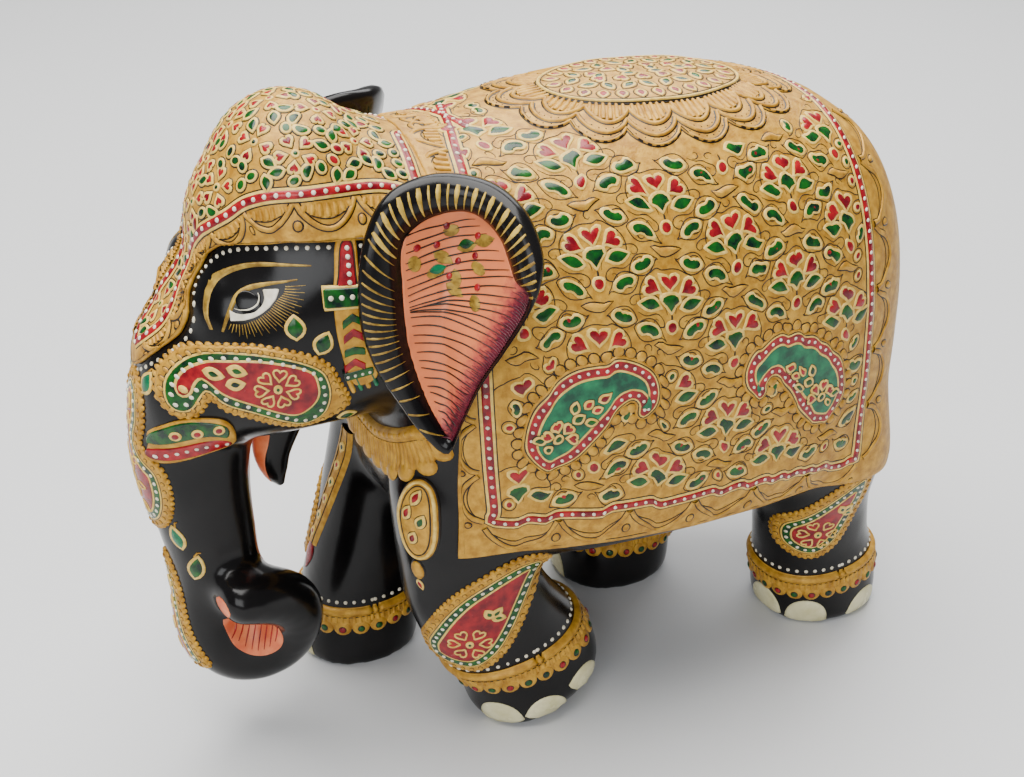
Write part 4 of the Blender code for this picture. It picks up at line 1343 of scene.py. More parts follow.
def strap(inks, chart):
    """The strap hanging from the head cloth: red tongue, green buckle, chevrons and a fringe."""
    field(inks.gilt, chart, resampled(smooth(STRAP, True, 4), 0.8, True), 0.8, rounding=0.3)
    tongue = ((-51.3, 132.6), (-53.2, 132.6), (-54.7, 127), (-55.3, 124.2), (-52.0, 124.2), (-51.7, 127))
    field(inks.line, chart, inset(smooth(tongue, True, 3), -0.3), 0.84, rounding=0.1)
    field(inks.red, chart, smooth(tongue, True, 3), 0.95, rounding=0.2)
    dots(inks.white, chart, [(-52.3 - 0.16 * k, 131.8 - 1.55 * k) for k in range(5)], 0.5, 0.3, 0.95)
    buckle = ((-49.4, 124.6), (-58.2, 124.9), (-58.4, 121.0), (-49.2, 120.8))
    field(inks.cream, chart, inset(np.array(buckle), -0.5), 1.05, rounding=0.3)
    field(inks.green, chart, np.array(buckle), 1.2, rounding=0.3)
    dots(inks.white, chart, [(-50.8 - 2.05 * k, 122.8 + 0.05 * k) for k in range(4)], 0.55, 0.3, 1.2)
    for z, kind in ((117.6, "green"), (114.4, "red"), (111.4, "green"), (107.8, "red")):
        half = 2.1
        mid = -53.3 + 0.012 * (z - 117)
        peak = 0.5 if kind == "green" and z < 115 else 1.5
        loop = np.array([(mid - half, z - 1.2), (mid, z - 1.2 + peak), (mid + half, z - 1.2),
                         (mid + half, z + 0.5), (mid, z + 0.5 + peak), (mid - half, z + 0.5)])
        field(getattr(inks, kind), chart, loop, 0.98, rounding=0.15, pitch=0.9)
    bar = np.array([(-55.9, 106.4), (-49.8, 107.2), (-49.6, 105.4), (-55.6, 104.6)])
    field(inks.green, chart, bar, 1.05, rounding=0.15, pitch=0.9)
    dots(inks.white, chart, [(-55 + 1.5 * k, 105.6 + 0.15 * k) for k in range(4)], 0.36, 0.22, 1.05, 7)
    for k in range(4):
        path = np.array([(-54.8 + 1.6 * k, 104.6 + 0.2 * k), (-53.6 + 1.6 * k, 101.2 + 0.3 * k)])
        ribbon(inks.gilt if k % 2 == 0 else inks.teal, chart, np.linspace(*path, 5), 1.1, 0.9)


for one in (1, -1):
    face_side(one)


# ---------------------------------------------------------------- the ears
EAR_MIDDLE = np.array([34.5, -38 + Y0, 118.0])
EAR_OUT = np.array([0.81, -0.56, 0.17]) / np.linalg.norm([0.81, -0.56, 0.17])
EAR_BACK = np.cross([0, 0, 1], EAR_OUT) / np.linalg.norm(np.cross([0, 0, 1], EAR_OUT))
EAR_UP = np.cross(EAR_OUT, EAR_BACK)
# Outer edge: back, up and out of the ear's plane, and how strongly the rim is rolled.
EAR_RIM = ((2.0, -29.2, 1.2, 0.25), (-3.6, -24.8, 1.5, 0.6), (-8.0, -18.5, 2.2, 0.85),
           (-12.4, -11.0, 3.9, 1), (-15.0, -2.0, 5.6, 1), (-15.4, 8.0, 6.4, 1), (-14.2, 17.2, 5.5, 1),
           (-10.8, 24.6, 3.3, 1), (-4.5, 27.9, -1.2, 1), (2.6, 28.2, -3.9, 1), (10.2, 26.6, -2.9, 1),
           (16.6, 22.2, 0.1, 1), (20.4, 15.4, 3.2, 0.9), (20.6, 9.6, 4.6, 0.55), (18.6, 3.6, 5.2, 0.15),
           (14.0, -4.6, 5.6, 0.1), (9.4, -12.2, 5.0, 0.1), (5.4, -21.4, 3.4, 0.1))
EAR_BOWL = ((2.6, -26.2), (-0.6, -22.0), (-3.6, -15.6), (-5.8, -8.6), (-6.8, -2.7), (-7.2, 4.0),
            (-7.7, 11.0), (-7.2, 15.6), (-4.2, 18.8), (0, 20.4), (4.4, 20.8), (8.2, 19.3),
            (11.4, 16.4), (13.5, 12.4), (15.2, 8.9), (18.0, 7.0), (17.2, 3.0), (13.0, -4.6),
            (8.6, -12.0), (4.9, -21.2))


def by_angle(points, angles):
    """Columns of a closed outline read off at angles round the origin."""
    loop = smooth(points, True, 8)
    turn = np.arctan2(loop[:, 1], loop[:, 0])
    order = np.argsort(turn)
    turn, loop = turn[order], loop[order]
    turn = np.concatenate([turn - 2 * np.pi, turn, turn + 2 * np.pi])
    loop = np.vstack([loop, loop, loop])
    return np.stack([np.interp(angles, turn, c) for c in loop.T], 1)


EAR_TURN = np.linspace(-np.pi, np.pi, 160, endpoint=False)
RIM = by_angle(EAR_RIM, EAR_TURN)
BOWL = by_angle(EAR_BOWL, EAR_TURN)


def ear_place(flat, out, side):
    """Ear-plane coordinates and height turned into metres, on either side of the head."""
    at = EAR_MIDDLE + flat[:, :1] * EAR_BACK + flat[:, 1:2] * EAR_UP + out[:, None] * EAR_OUT
    return at * np.array([side, 1, 1]) * MM


def ear_shell(side):
    """One ear: a shallow bowl, a rolled rim and a rounded back, ring by ring from the middle."""
    share = np.linalg.norm(BOWL, axis=1) / np.linalg.norm(RIM[:, :2], axis=1)
    rings = []
    for f in (0.15, 0.3, 0.45, 0.6, 0.75, 0.88, 1.0):
        rings.append((BOWL * f, RIM[:, 2] * share * f - 1.7 + 0.5 * f ** 2 - 0.5 * np.sin(np.pi * f)))
    for t, lift in ((0.04, 0.7), (0.12, 1.7), (0.26, 2.6), (0.42, 3.1), (0.6, 3.1), (0.76, 2.6),
                    (0.9, 1.7), (0.98, 0.6), (1.0, -0.2)):
        flat = BOWL * (1 - t) + RIM[:, :2] * t
        low = RIM[:, 2] * (share * (1 - t) + t) - 1.2 * (1 - t)
        rings.append((flat, low + (lift - 0.2) * RIM[:, 3] + 0.1 * (t < 1)))
    for f, down in ((1.0, -1.3), (0.97, -2.3), (0.9, -3.0), (0.7, -3.8), (0.4, -4.4)):
        rings.append((RIM[:, :2] * f, RIM[:, 2] * f + down))
    n = len(EAR_TURN)
    verts = [ear_place(np.zeros((1, 2)), np.array([-1.7]), side)]
    verts += [ear_place(flat, out, side) for flat, out in rings]
    verts.append(ear_place(np.zeros((1, 2)), np.array([-4.6]), side))
    last = 1 + n * len(rings)
    faces = []
    for i in range(n):
        j = (i + 1) % n
        faces.append((0, 1 + i, 1 + j))
        for k in range(len(rings) - 1):
            a, b = 1 + k * n, 1 + (k + 1) * n
            faces.append((a + i, b + i, b + j, a + j))
        faces.append((last - n + i, last, last - n + j))
    if side < 0:
        faces = [f[::-1] for f in faces]
    name = "ear_left" if side > 0 else "ear_right"
    ear = new_object(name, np.vstack(verts), faces, LACQUER)
    settle(ear, "left_ear" if side > 0 else "right_ear")
    return ear


def ear_paint():
    """Salmon that deepens to maroon towards the ear's lower rear edge."""
    mat, nodes, links, shader = nodes_of("ear_salmon")
    coord = nodes.new("ShaderNodeTexCoord")
    mirror = nodes.new("ShaderNodeVectorMath")
    mirror.operation = "ABSOLUTE"
    links.new(coord.outputs["Object"], mirror.inputs[0])
    shift = nodes.new("ShaderNodeVectorMath")
    shift.operation = "SUBTRACT"
    # Both ears lie at negative Y, so after the mirroring Y counts forwards.
    shift.inputs[1].default_value = (34.5 * MM, (38 - Y0) * MM, 118 * MM)
    links.new(mirror.outputs[0], shift.inputs[0])
    across = EAR_BACK * 0.90 - EAR_UP * 0.43
    dot = nodes.new("ShaderNodeVectorMath")
    dot.operation = "DOT_PRODUCT"
    dot.inputs[1].default_value = (across[0], -across[1], across[2])
    links.new(shift.outputs[0], dot.inputs[0])
    streak = noise(nodes, links, coord, 900, 3.0)
    wobble = nodes.new("ShaderNodeMath")
    wobble.operation = "MULTIPLY_ADD"
    wobble.inputs[1].default_value = 0.005
    links.new(streak.outputs["Fac"], wobble.inputs[0])
    links.new(dot.outputs["Value"], wobble.inputs[2])
    span = nodes.new("ShaderNodeMapRange")
    span.inputs["From Min"].default_value = 0.0105
    span.inputs["From Max"].default_value = 0.0165
    links.new(wobble.outputs[0], span.inputs["Value"])
    tint = ramp(nodes, links, span.outputs["Result"],
                ((0.0, (0.80, 0.215, 0.075)), (0.4, (0.50, 0.085, 0.060)), (0.75, (0.13, 0.012, 0.026)),
                 (1.0, (0.05, 0.006, 0.012))))
    tone = noise(nodes, links, coord, 160, 3.0)
    dark = ramp(nodes, links, tone.outputs["Fac"], ((0.3, (0.82, 0.78, 0.76)), (0.7, (1, 1, 1))))
    mix = nodes.new("ShaderNodeMix")
    mix.data_type = "RGBA"
    mix.blend_type = "MULTIPLY"
    mix.inputs["Factor"].default_value = 1.0
    links.new(tint.outputs["Color"], mix.inputs["A"])
    links.new(dark.outputs["Color"], mix.inputs["B"])
    links.new(mix.outputs["Result"], shader.inputs["Base Color"])
    shader.inputs["Roughness"].default_value = 0.34
    shader.inputs["Specular IOR Level"].default_value = 0.35
    return mat


EAR_SALMON = ear_paint()
MAROON = paint("maroon_brush", (0.035, 0.003, 0.008), (0.12, 0.010, 0.024), 500, 0.36)
# A brighter copy of the brush gold for the strokes over the ear rim's top: a painted highlight where the
# light falls on the rim.
HIGHLIGHT_RIM_GOLD = paint("highlight_rim_gold", (0.38, 0.23, 0.02), (0.68, 0.46, 0.09), 500, 0.38,
                 metallic=0.1)


def dress_ear(side):
    """One ear's salmon bowl with its veins and blots, and the gold strokes across its rim, those over the
    rim's top in a brighter gold as a painted highlight.
    """
    ear = ear_shell(side)
    tree = tree_of(ear)

    def ray(u, v):
        origin = EAR_MIDDLE + u * EAR_BACK + v * EAR_UP + 30 * EAR_OUT
        return origin * np.array([side, 1, 1]), -EAR_OUT * np.array([side, 1, 1])

    chart = ray_chart(tree, (-18, 23), (-31, 30), 0.7, ray, 0)
    tag = "ear_l" if side > 0 else "ear_r"
    inks = Set(tag)
    salmon = Ink(tag + "_salmon", EAR_SALMON)
    maroon = Ink(tag + "_maroon", MAROON)
    gold = Ink(tag + "_rim_highlight", HIGHLIGHT_RIM_GOLD)
    dull = Ink(tag + "_brush", BRUSH_GOLD)
    bowl = resampled(BOWL, 0.8, True)
    field(salmon, chart, bowl, 0.12, rounding=0.2, pitch=1.0)
    left = smooth(((-6.9, 17.0), (-7.1, 11), (-6.7, 6), (-6.3, 2), (-6.0, -1), (-5.0, -8), (-2.6, -15.6),
                   (0.4, -22)))
    right = smooth(((6.0, 19.6), (12.4, 13.0), (15.6, 7.2), (14.2, 0.5), (10.2, -6.4), (7.2, -13),
                    (5.0, -19.4), (3.2, -25)))
    left, right = resampled(left, 0.5), resampled(right, 0.5)
    count = 27
    for k in range(count):
        t = k / (count - 1)
        root = np.interp(t, (0, 0.24, 0.34, 0.52, 1), (0.02, 0.30, 0.385, 0.42, 1.0))
        a = left[int(root * (len(left) - 1))]
        b = right[int(t * (len(right) - 1))]
        u = np.linspace(0, 1, 14)[:, None]
        bow = np.array([0.45, 1.0]) * (1.5 * math.sin(math.pi * min(1, t * 1.3)) + 0.5)
        path = a * (1 - u) + b * u + bow * (u * (1 - u) * 1.6)
        path[:, 1] += 0.12 * np.sin(u[:, 0] * 9 + k * 1.7)
        ribbon(inks.line, chart, path, 0.42, 0.16, lift=0.1, taper=((0, 0.5), (0.2, 1), (0.8, 0.8), (1, 0.3)))
    edge = ((18.6, 6.6), (17.6, 3.0), (13.6, -4.4), (9.2, -12.0), (5.4, -20.8), (3.2, -26.5))
    edge = resampled(smooth(edge), 0.55)
    for k, foot in enumerate(edge):
        inward = np.array([-0.93, 0.36]) * (2.0 + 2.4 * ((k * 7) % 5) / 5)
        bend = np.array([0.2, 0.5])
        path = np.array([foot * 0.985, foot + inward * 0.5 + bend * 0.3, foot + inward])
        ribbon(maroon, chart, resampled(smooth(path), 0.6), 0.36, 0.13, lift=0.1,
               taper=((0, 1), (0.5, 0.8), (1, 0.15)))
    # The strokes over the rim's top get the brighter gold as a painted highlight; those further round keep
    # the duller brush gold.
    for k in range(27):
        outer = math.radians(124 - 4.0 * k)
        wide = 1.25 if k % 2 == 0 else 0.6
        ink, share = (gold, 1) if k < 20 else (dull, 0.7)
        stroke_on_rim(ink, chart, outer, outer, 0.80, 0.12, wide * share)
    for k in range(19):
        outer = math.radians(128 + 7.4 * k)
        inner = outer + math.radians(np.interp(k, (0, 6, 18), (0, 7, 11)))
        stroke_on_rim(dull, chart, outer, inner, 0.86, 0.16, 0.62)
    for k, (u, v, kind) in enumerate(((-0.1, 17.9, "red"), (-1.9, 14.1, "red"), (-5.4, 13.8, "red"),
                                      (2.7, 14.8, "green"), (6.0, 12.4, "red"), (2.4, 10.9, "red"),
                                      (-2.9, 9.5, "teal"), (0.7, 7.8, "red"), (6.9, 6.4, "red"),
                                      (6.4, 16.4, "red"))):
        blot = leaf(4.6, 2.6) if k % 2 else blob(3.4, 2.4)
        pad(dull, chart, placed(blot, u - 0.4, v - 1.5, 70 + 50 * (k % 3)), 0.16, 0.12, 0, 0.3)
        gem = leaf(3.4, 2.0) if kind != "red" else blob(1.5, 1.2)
        lean = 75 if kind != "red" else 20
        pad(getattr(inks, kind), chart, placed(gem, u, v - 0.7, lean), 0.3, 0.16, 0, 0.4)


def stroke_on_rim(ink, chart, outer, inner, far, near, width):
    """A brush stroke across the rolled rim, between two angles round the ear."""
    wrap = lambda a: (a + math.pi) % (2 * math.pi) - math.pi
    ends = []
    for angle, share in ((inner, near), (outer, far)):
        bowl = by_angle(EAR_BOWL, [wrap(angle)])[0]
        rim = by_angle(EAR_RIM, [wrap(angle)])[0][:2]
        ends.append(bowl * (1 - share) + rim * share)
    path = np.linspace(ends[0], ends[1], 9)
    ribbon(ink, chart, path, width, 0.14, taper=((0, 0.15), (0.35, 0.6), (0.75, 1), (1, 0.7)))


for one in (1, -1):
    dress_ear(one)


# ---------------------------------------------------------------- the tusk sheaths
SHEATH_TOP = ((-92.8, 87.8), (-92.4, 91.6), (-88.5, 95.4), (-83.4, 97.2), (-78.4, 96.2), (-78.2, 92.2),
              (-82, 92.5), (-86.6, 90.6))
SHEATH_LOW = ((-93.2, 87.2), (-86.6, 90.2), (-82, 92.1), (-78.2, 91.8), (-77.2, 89.2), (-83.9, 86.0),
              (-92.8, 83.9))


def dress_sheath(side):
    """A green band with red drops over a red one with white dots, on a gold ground."""
    chart = faces[side]
    which = "left" if side > 0 else "right"
    inks = Set("sheath_" + which[0], gilt=(which + "_tusk_sheath",))
    both = np.array(SHEATH_TOP[:5] + ((-77.0, 89.2), (-83.9, 85.8), (-92.8, 83.6)))
    field(inks.gilt, chart, inset(resampled(smooth(both, True, 4), 0.8, True), 0.1), 1.0, rounding=0.4)
    field(inks.green, chart, inset(resampled(smooth(SHEATH_TOP, True, 3), 0.7, True), 0.45), 1.25,
          rounding=0.25, pitch=0.9)
    field(inks.red, chart, inset(resampled(smooth(SHEATH_LOW, True, 3), 0.7, True), 0.6), 1.25, rounding=0.25,
          pitch=0.9)
    for k in range(3):
        spot = placed(blob(1.9, 1.5), -88.4 + 3.9 * k, 91.6 + 1.3 * k, 30)
        inks.gem(chart, spot, "red", 0.3, 0, 0.4, 1.2)
    row = resampled(smooth(((-91.6, 85.6), (-87.6, 87.4), (-83, 89.4), (-78.6, 90.4))), 1.75)
    dots(inks.white, chart, row, 0.46, 0.28, 1.22, 8)
    return inks


# ---------------------------------------------------------------- the trunk
TRUNK_ROUND = 12.0


@functools.lru_cache(maxsize=None)
def trunk_axis(v):
    """Where the trunk's axis lies behind its front edge, at one height."""
    return wood_tree.ray_cast(Vector((0, -130, v)) * MM, Vector((0, 1, 0)))[0][1] / MM + TRUNK_ROUND


def trunk_ray(u, v):
    """Towards the trunk's axis, u running round the trunk from its front edge."""
    turn = u / TRUNK_ROUND
    out = np.array([math.sin(turn), -math.cos(turn), 0])
    return np.array([0, trunk_axis(v), v]) + out * 26, -out


trunk_chart = ray_chart(wood_tree, (-19, 19), (18, 106), 0.8, trunk_ray, 2)
UPPER_HALF = ((0, 101.6), (3.4, 100.2), (5.4, 96.5), (5.6, 91), (4.4, 86.6), (6.4, 84.2), (9.8, 81.6),
              (10.8, 77), (9.8, 71.2), (7.2, 66.4), (3.4, 63.8), (0, 63.2))
LOWER_HALF = ((0, 55), (2.4, 52), (3.5, 46), (4.4, 40), (5.6, 34), (7.2, 28.5), (7.8, 24.6), (4.4, 22.6),
              (0, 22.2))


def mirrored(half):
    """A whole outline from its right half."""
    return np.array(list(half) + [(-x, z) for x, z in half[-2:0:-1]])


def dress_trunk():
    """The two paisleys down the trunk's front, and the loose drops beside them."""
    inks = Set("trunk", gilt=("trunk_upper_paisley", "trunk_lower_paisley"))
    flat = royal_paisley(inks, trunk_chart, mirrored(UPPER_HALF), 1.9, 1.5)
    for z, size in ((94.5, 2.4), (90.5, 2.0), (79.5, 3.0), (72.5, 2.8), (76, 2.2)):
        drop = placed(leaf(size * 1.3, size * 0.8), 0, z - size * 0.6)
        inks.gem(trunk_chart, drop, "red", 0.4, 0, 0.3, flat)
    for x, z, angle in ((2.6, 80.5, 50), (3.4, 75.5, 90), (2.8, 70.6, 130)):
        for side in (-1, 1):
            ribbon(inks.cream, trunk_chart,
                   resampled(placed(leaf(3.2, 1.7), x * side * 0.5, z, angle * side), 0.5, True),
                   0.36, 0.2, True, flat)
    flat = royal_paisley(inks, trunk_chart, mirrored(LOWER_HALF), 1.7, 1.2)
    for z in (46, 40, 34, 28):
        inks.gem(trunk_chart, placed(leaf(3.2, 1.8), 0, z - 1.5), "green" if z in (46, 34) else "red",
                 0.36, 0, 0.3, flat)
    for side in (-1, 1):
        for x, y, z, length, width, angle, kind in (
                (8.7, -90.0, 62.4, 6.2, 2.8, -14, "teal"), (8.9, -88.0, 54.1, 6.6, 3.2, 14, "green"),
                (5.8, -92.4, 101.8, 5.0, 3.4, 18, "teal")):
            chart = Spot(wood_tree, (x * side, y, z))
            loop = placed(leaf(length, width), 0, -length / 2, angle * side)
            inks.gem(chart, loop, kind, 0.55, 0, 0.5, 0.05)
            tip = placed(np.array([[0, length / 2], [0.5, length / 2 + 1.2], [1.3, length / 2 + 1.4]]),
                         0, 0, angle * side)
            ribbon(inks.gilt, chart, tip, 0.5, 0.3, taper=((0, 1), (1, 0.4)))
    return inks


CURL_MOUTH = ((-6.6, 3.6), (-1.5, 3.1), (4.5, 2.2), (6.6, -0.6), (6.0, -3.4), (3.6, -5.3), (0.6, -6.0),
              (-2.6, -5.2), (-5.4, -2.4))


def dress_curl():
    """The painted hollow of the curl with its red strokes, and the salmon of the trunk's underside."""
    chart = ray_chart(wood_tree, (-9, 9), (-9, 7), 0.5, curl_ray, 1)
    field(Ink("curl_hollow", PEACH), chart, resampled(smooth(CURL_MOUTH, True, 4), 0.6, True), 0.1,
          rounding=0.1, pitch=0.6)
    stripes = Ink("curl_stripes", RED)
    for k in range(8):
        x = -5.0 + 1.45 * k
        foot = -4.6 + 0.13 * (x - 0.8) ** 2
        path = smooth(((x + 0.5, 2.4), (x + 0.2, 0.2), (x - 0.5, min(foot, -1.4))))
        ribbon(stripes, chart, resampled(path, 0.6), 0.40, 0.2, lift=0.08,
               taper=((0, 0.4), (0.5, 1), (1, 0.4)))
    inner = Ink("trunk_inner", PEACH)
    strip = Strip(wood_tree, ((0, -66, 84), (0, -71, 72), (0.5, -72, 62), (1.5, -72.6, 54), (2, -73, 48)))
    ribbon(inner, strip, strip.line(0), 9.0, 0.12, sink=0.05)
    tip = Ink("trunk_tip", PEACH)
    chart = Spot(wood_tree, (17.5, -91.0, 46.5))
    pad(tip, chart, blob(4.6, 6.4) - np.array([0, 2.3]), 0.2, 0, 0, 0.3)


def curl_ray(u, v):
    """Into the curl's hollow along the line of sight: u runs across it, v up."""
    back = VIEW
    side = np.array([0.4226, 0.9063, 0])
    up = np.cross(back, side)
    middle = np.array([13, -78.3 + Y0, 34.5])
    return middle + side * u + up * v + back * 9, -back


for one in (1, -1):
    dress_sheath(one)
dress_trunk()
dress_curl()


# ---------------------------------------------------------------- legs and feet
# Each band is x, y, z and tilt of its middle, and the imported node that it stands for.
BANDS = {
    "lf": (20.5, -14.5, 19.8, 16, "left_front_anklet"), "lb": (17.8, 75.5, 14.5, 6, "left_back_anklet"),
    "rf": (-19, -42, 15.5, 0, "right_front_anklet"), "rb": (-19, 35, 15.5, -4, "right_back_anklet")}


def leg_chart(angle, middle, u_range, v_range):
    """Looking at the near half of a leg along a level direction: u runs across, v up."""
    reach = 62
    a = math.radians(angle)
    out = np.array([math.cos(a), math.sin(a), 0])
    across = np.array([-out[1], out[0], 0])
    base = np.array([0, Y0, 0]) + out * reach
    depth = reach - np.dot(out[:2], middle) + 2
    return ray_chart(wood_tree, u_range, v_range, 0.8,
                     lambda u, v: (base + across * u + np.array([0, 0, v]), -out), 1, depth)


FRONT_DROP = ((-21.8, 24.5), (-17.2, 21.6), (-10, 21.2), (-4.2, 26.0), (-0.6, 32.6), (1.8, 39), (4.0, 45),
              (6.2, 50), (5.0, 53.4), (0, 53.8), (-6.5, 52.0), (-13.5, 47.6), (-18.6, 41.0), (-22.2, 33),
              (-23, 28.6))
BACK_DROP = ((62, 32), (63.6, 27), (69, 23.6), (74.5, 24.0), (79.2, 29.0), (82.2, 37.5), (84, 45),
             (83.6, 51.5), (80, 52.4), (74, 48), (67, 40.5), (63, 36.5))


def turned(loop, shift):
    """A left leg's outline shifted and mirrored for a right leg."""
    return np.array([(-(x + shift), z) for x, z in loop])


def drop_flower(inks, chart, u, v, lean, flat):
    """Six cream rings and three green leaves, as on the legs."""
    ring_flower(inks, chart, u, v, 0.98, 6, flat, lean)
    tip = placed(np.array([[0, 9.2]]), u, v, lean)[0]
    for angle in (-60, 10, 80):
        inks.gem(chart, placed(leaf(2.9, 1.7), tip[0], tip[1], lean + angle), "green", 0.34, 0, 0.3, flat)


def dress_leg_paisleys():
    """A paisley on each leg's outer face, with its flower."""
    for tag, angle, loop, u, v, lean, node in (
            ("lf", -30, np.array(FRONT_DROP), -11.6, 31.5, 32, "left_front_paisley"),
            ("lb", -20, np.array(BACK_DROP), 72.4, 32.4, 34, "left_back_paisley"),
            ("rf", 200, turned(FRONT_DROP, -19), 30.6, 31.5, -32, "right_front_paisley"),
            ("rb", 180, turned(BACK_DROP, -27), -45.4, 32.4, -34, "right_back_paisley")):
        lo, hi = loop.min(0), loop.max(0)
        chart = leg_chart(angle, BANDS[tag][:2], (lo[0] - 5, hi[0] + 5), (max(3, lo[1] - 6), hi[1] + 4))
        inks = Set("leg_" + tag, gilt=(node,))
        flat = royal_paisley(inks, chart, loop, 2.0, 1.7)
        drop_flower(inks, chart, u, v, lean, flat)


def dress_band(tag):
    """The gold band round a foot: flutes, ringed enamel drops and a row of white dots above."""
    x, y, z, tilt, node = BANDS[tag]
    inks = Set("band_" + tag, gilt=(node,))
    turn = np.radians(np.arange(0, 360, 15))
    rise = math.tan(math.radians(tilt))
    ring = [(x + 17 * math.cos(a), y + Y0 + 18.5 * math.sin(a), z + rise * 18 * math.sin(a)) for a in turn]
    strip = Strip(wood_tree, ring, closed=True, hand=-1)
    if strip.at([[0, 3]])[0][2] > strip.at([[0, 0]])[0][2]:
        strip.side = -strip.side
    ribbon(inks.gilt, strip, strip.line(0.0), 6.6, 0.75, True)
    ribbon(inks.gilt, strip, strip.line(-1.9), 2.2, 1.25, True)
    ribbon(inks.line, strip, strip.line(-0.6), 0.3, 0.62, True, 0.3)
    count = int(strip.length / 4.3)
    for k in range(count):
        s = strip.length * k / count
        disc = blob(4.2, 4.4, 14) + np.array([s, 0.4])
        pad(inks.gilt, strip, disc, 0.85, 0, 0, 0.2)
        pad(inks.line, strip, blob(1.9, 1.9) + np.array([s, 1.9]), 0.12, 0.78, 0, 0.3)
        pad(inks.red if k % 2 else inks.green, strip, blob(1.5, 1.5) + np.array([s, 2.1]), 0.3, 0.8, 0, 0.4)
        for j in range(3):
            flute = np.array([[s + 1.45 * (j - 1), -0.9], [s + 1.45 * (j - 1), 0.9]])
            ribbon(inks.gilt, strip, np.linspace(*flute, 4), 1.0, 0.32, lift=0.62)
    dots(inks.white, strip, resampled(strip.line(-4.6), 2.3), 0.55, 0.32, 0, 8)
    return inks


def nails():
    """Half-round toenails, set by their angle round each foot and their lean."""
    ink = Ink("toenails", NAIL)
    for tag, angles in (("lf", ((-49, -16), (-4, 14), (36, 34))), ("lb", ((-84, -4), (-33, 0), (32, 6))),
                        ("rf", ((-88, 0), (-136, 0), (178, 0))), ("rb", ((-96, 0), (-147, 0), (148, 0)))):
        x, y = BANDS[tag][:2]
        for angle, lean in angles:
            a = math.radians(angle)
            y_mid = y + (3.0 if tag == "lf" else 0)
            low = 1.2 + (math.tan(math.radians(24)) * max(0, 16 * math.sin(a) + 4) if tag == "lf" else 0)
            chart = Spot(wood_tree, (x + 17 * math.cos(a), y_mid + Y0 + 18 * math.sin(a), low + 2.5),
                         out=(math.cos(a), math.sin(a), 0.05))
            t = np.linspace(0, np.pi, 15)
            loop = np.vstack([np.stack([5.6 * np.cos(t), 6.8 * np.sin(t) ** 0.8 - 2.6], 1),
                              [[-4.4, -3.2], [-2, -3.5], [2, -3.5], [4.4, -3.2]]])
            pad(ink, chart, placed(loop, 0, 0, lean), 0.55, 0, 0, 0.4)


# ---------------------------------------------------------------- collar and plaques
chest = ray_chart(wood_tree, (-40, 40), (16, 94), 0.8, lambda u, v: ((u, -61, v), (0, 1, 0)))
COLLAR_TOP = ((0, 79), (10, 80), (20, 83.6), (28, 88.2), (33, 89))
COLLAR_LOW = ((0, 70), (7.6, 70.3), (16, 72.6), (24, 76), (29.5, 80), (33.2, 86.6))


def dress_collar():
    """The fluted gold collar with its beaded upper edge."""
    inks = Set("collar", gilt=("breast_collar",))
    half = list(COLLAR_TOP) + list(COLLAR_LOW[::-1])
    loop = np.vstack([np.array(half), np.array([(-x, z) for x, z in half[::-1][1:-1]])])
    field(inks.gilt, chest, resampled(loop, 1.0, True), 0.9, rounding=0.5)
    for side in (-1, 1):
        top = resampled(smooth(COLLAR_TOP), 0.4) * np.array([side, 1])
        low = resampled(smooth(COLLAR_LOW), 0.4) * np.array([side, 1])
        count = 26
        for k in range(count):
            t = (k + 0.5) / count
            a, b = top[int(t * (len(top) - 1))], low[int(t * (len(low) - 1))]
            ribbon(inks.gilt, chest, np.linspace(a + (b - a) * 0.2, a + (b - a) * 0.93, 8), 1.35, 0.5,
                   lift=0.75, taper=((0, 0.6), (0.7, 1), (1, 0.6)))
        for k in range(7):
            t = (k + 0.5) / 7
            spot = low[int(t * (len(low) - 1))]
            dots(inks.gilt, chest, [spot * np.array([0.99, 1.005])], 2.5, 1.3, 0, 16)
        ribbon(inks.line, chest, top - np.array([0, 1.9]), 0.9, 0.95)
        ribbon(inks.gilt, chest, top, 3.0, 1.5)
        dots(inks.gilt, chest, resampled(top, 2.2), 1.15, 1.75, 0, 10)
    return inks


def on_front(x, z):
    """A point of the wood's front face, ahead of the belly."""
    start = -61 if x > 0 else -74
    return Vector(wood_tree.ray_cast(Vector((x, start, z)) * MM, Vector((0, 1, 0)))[0]) / MM


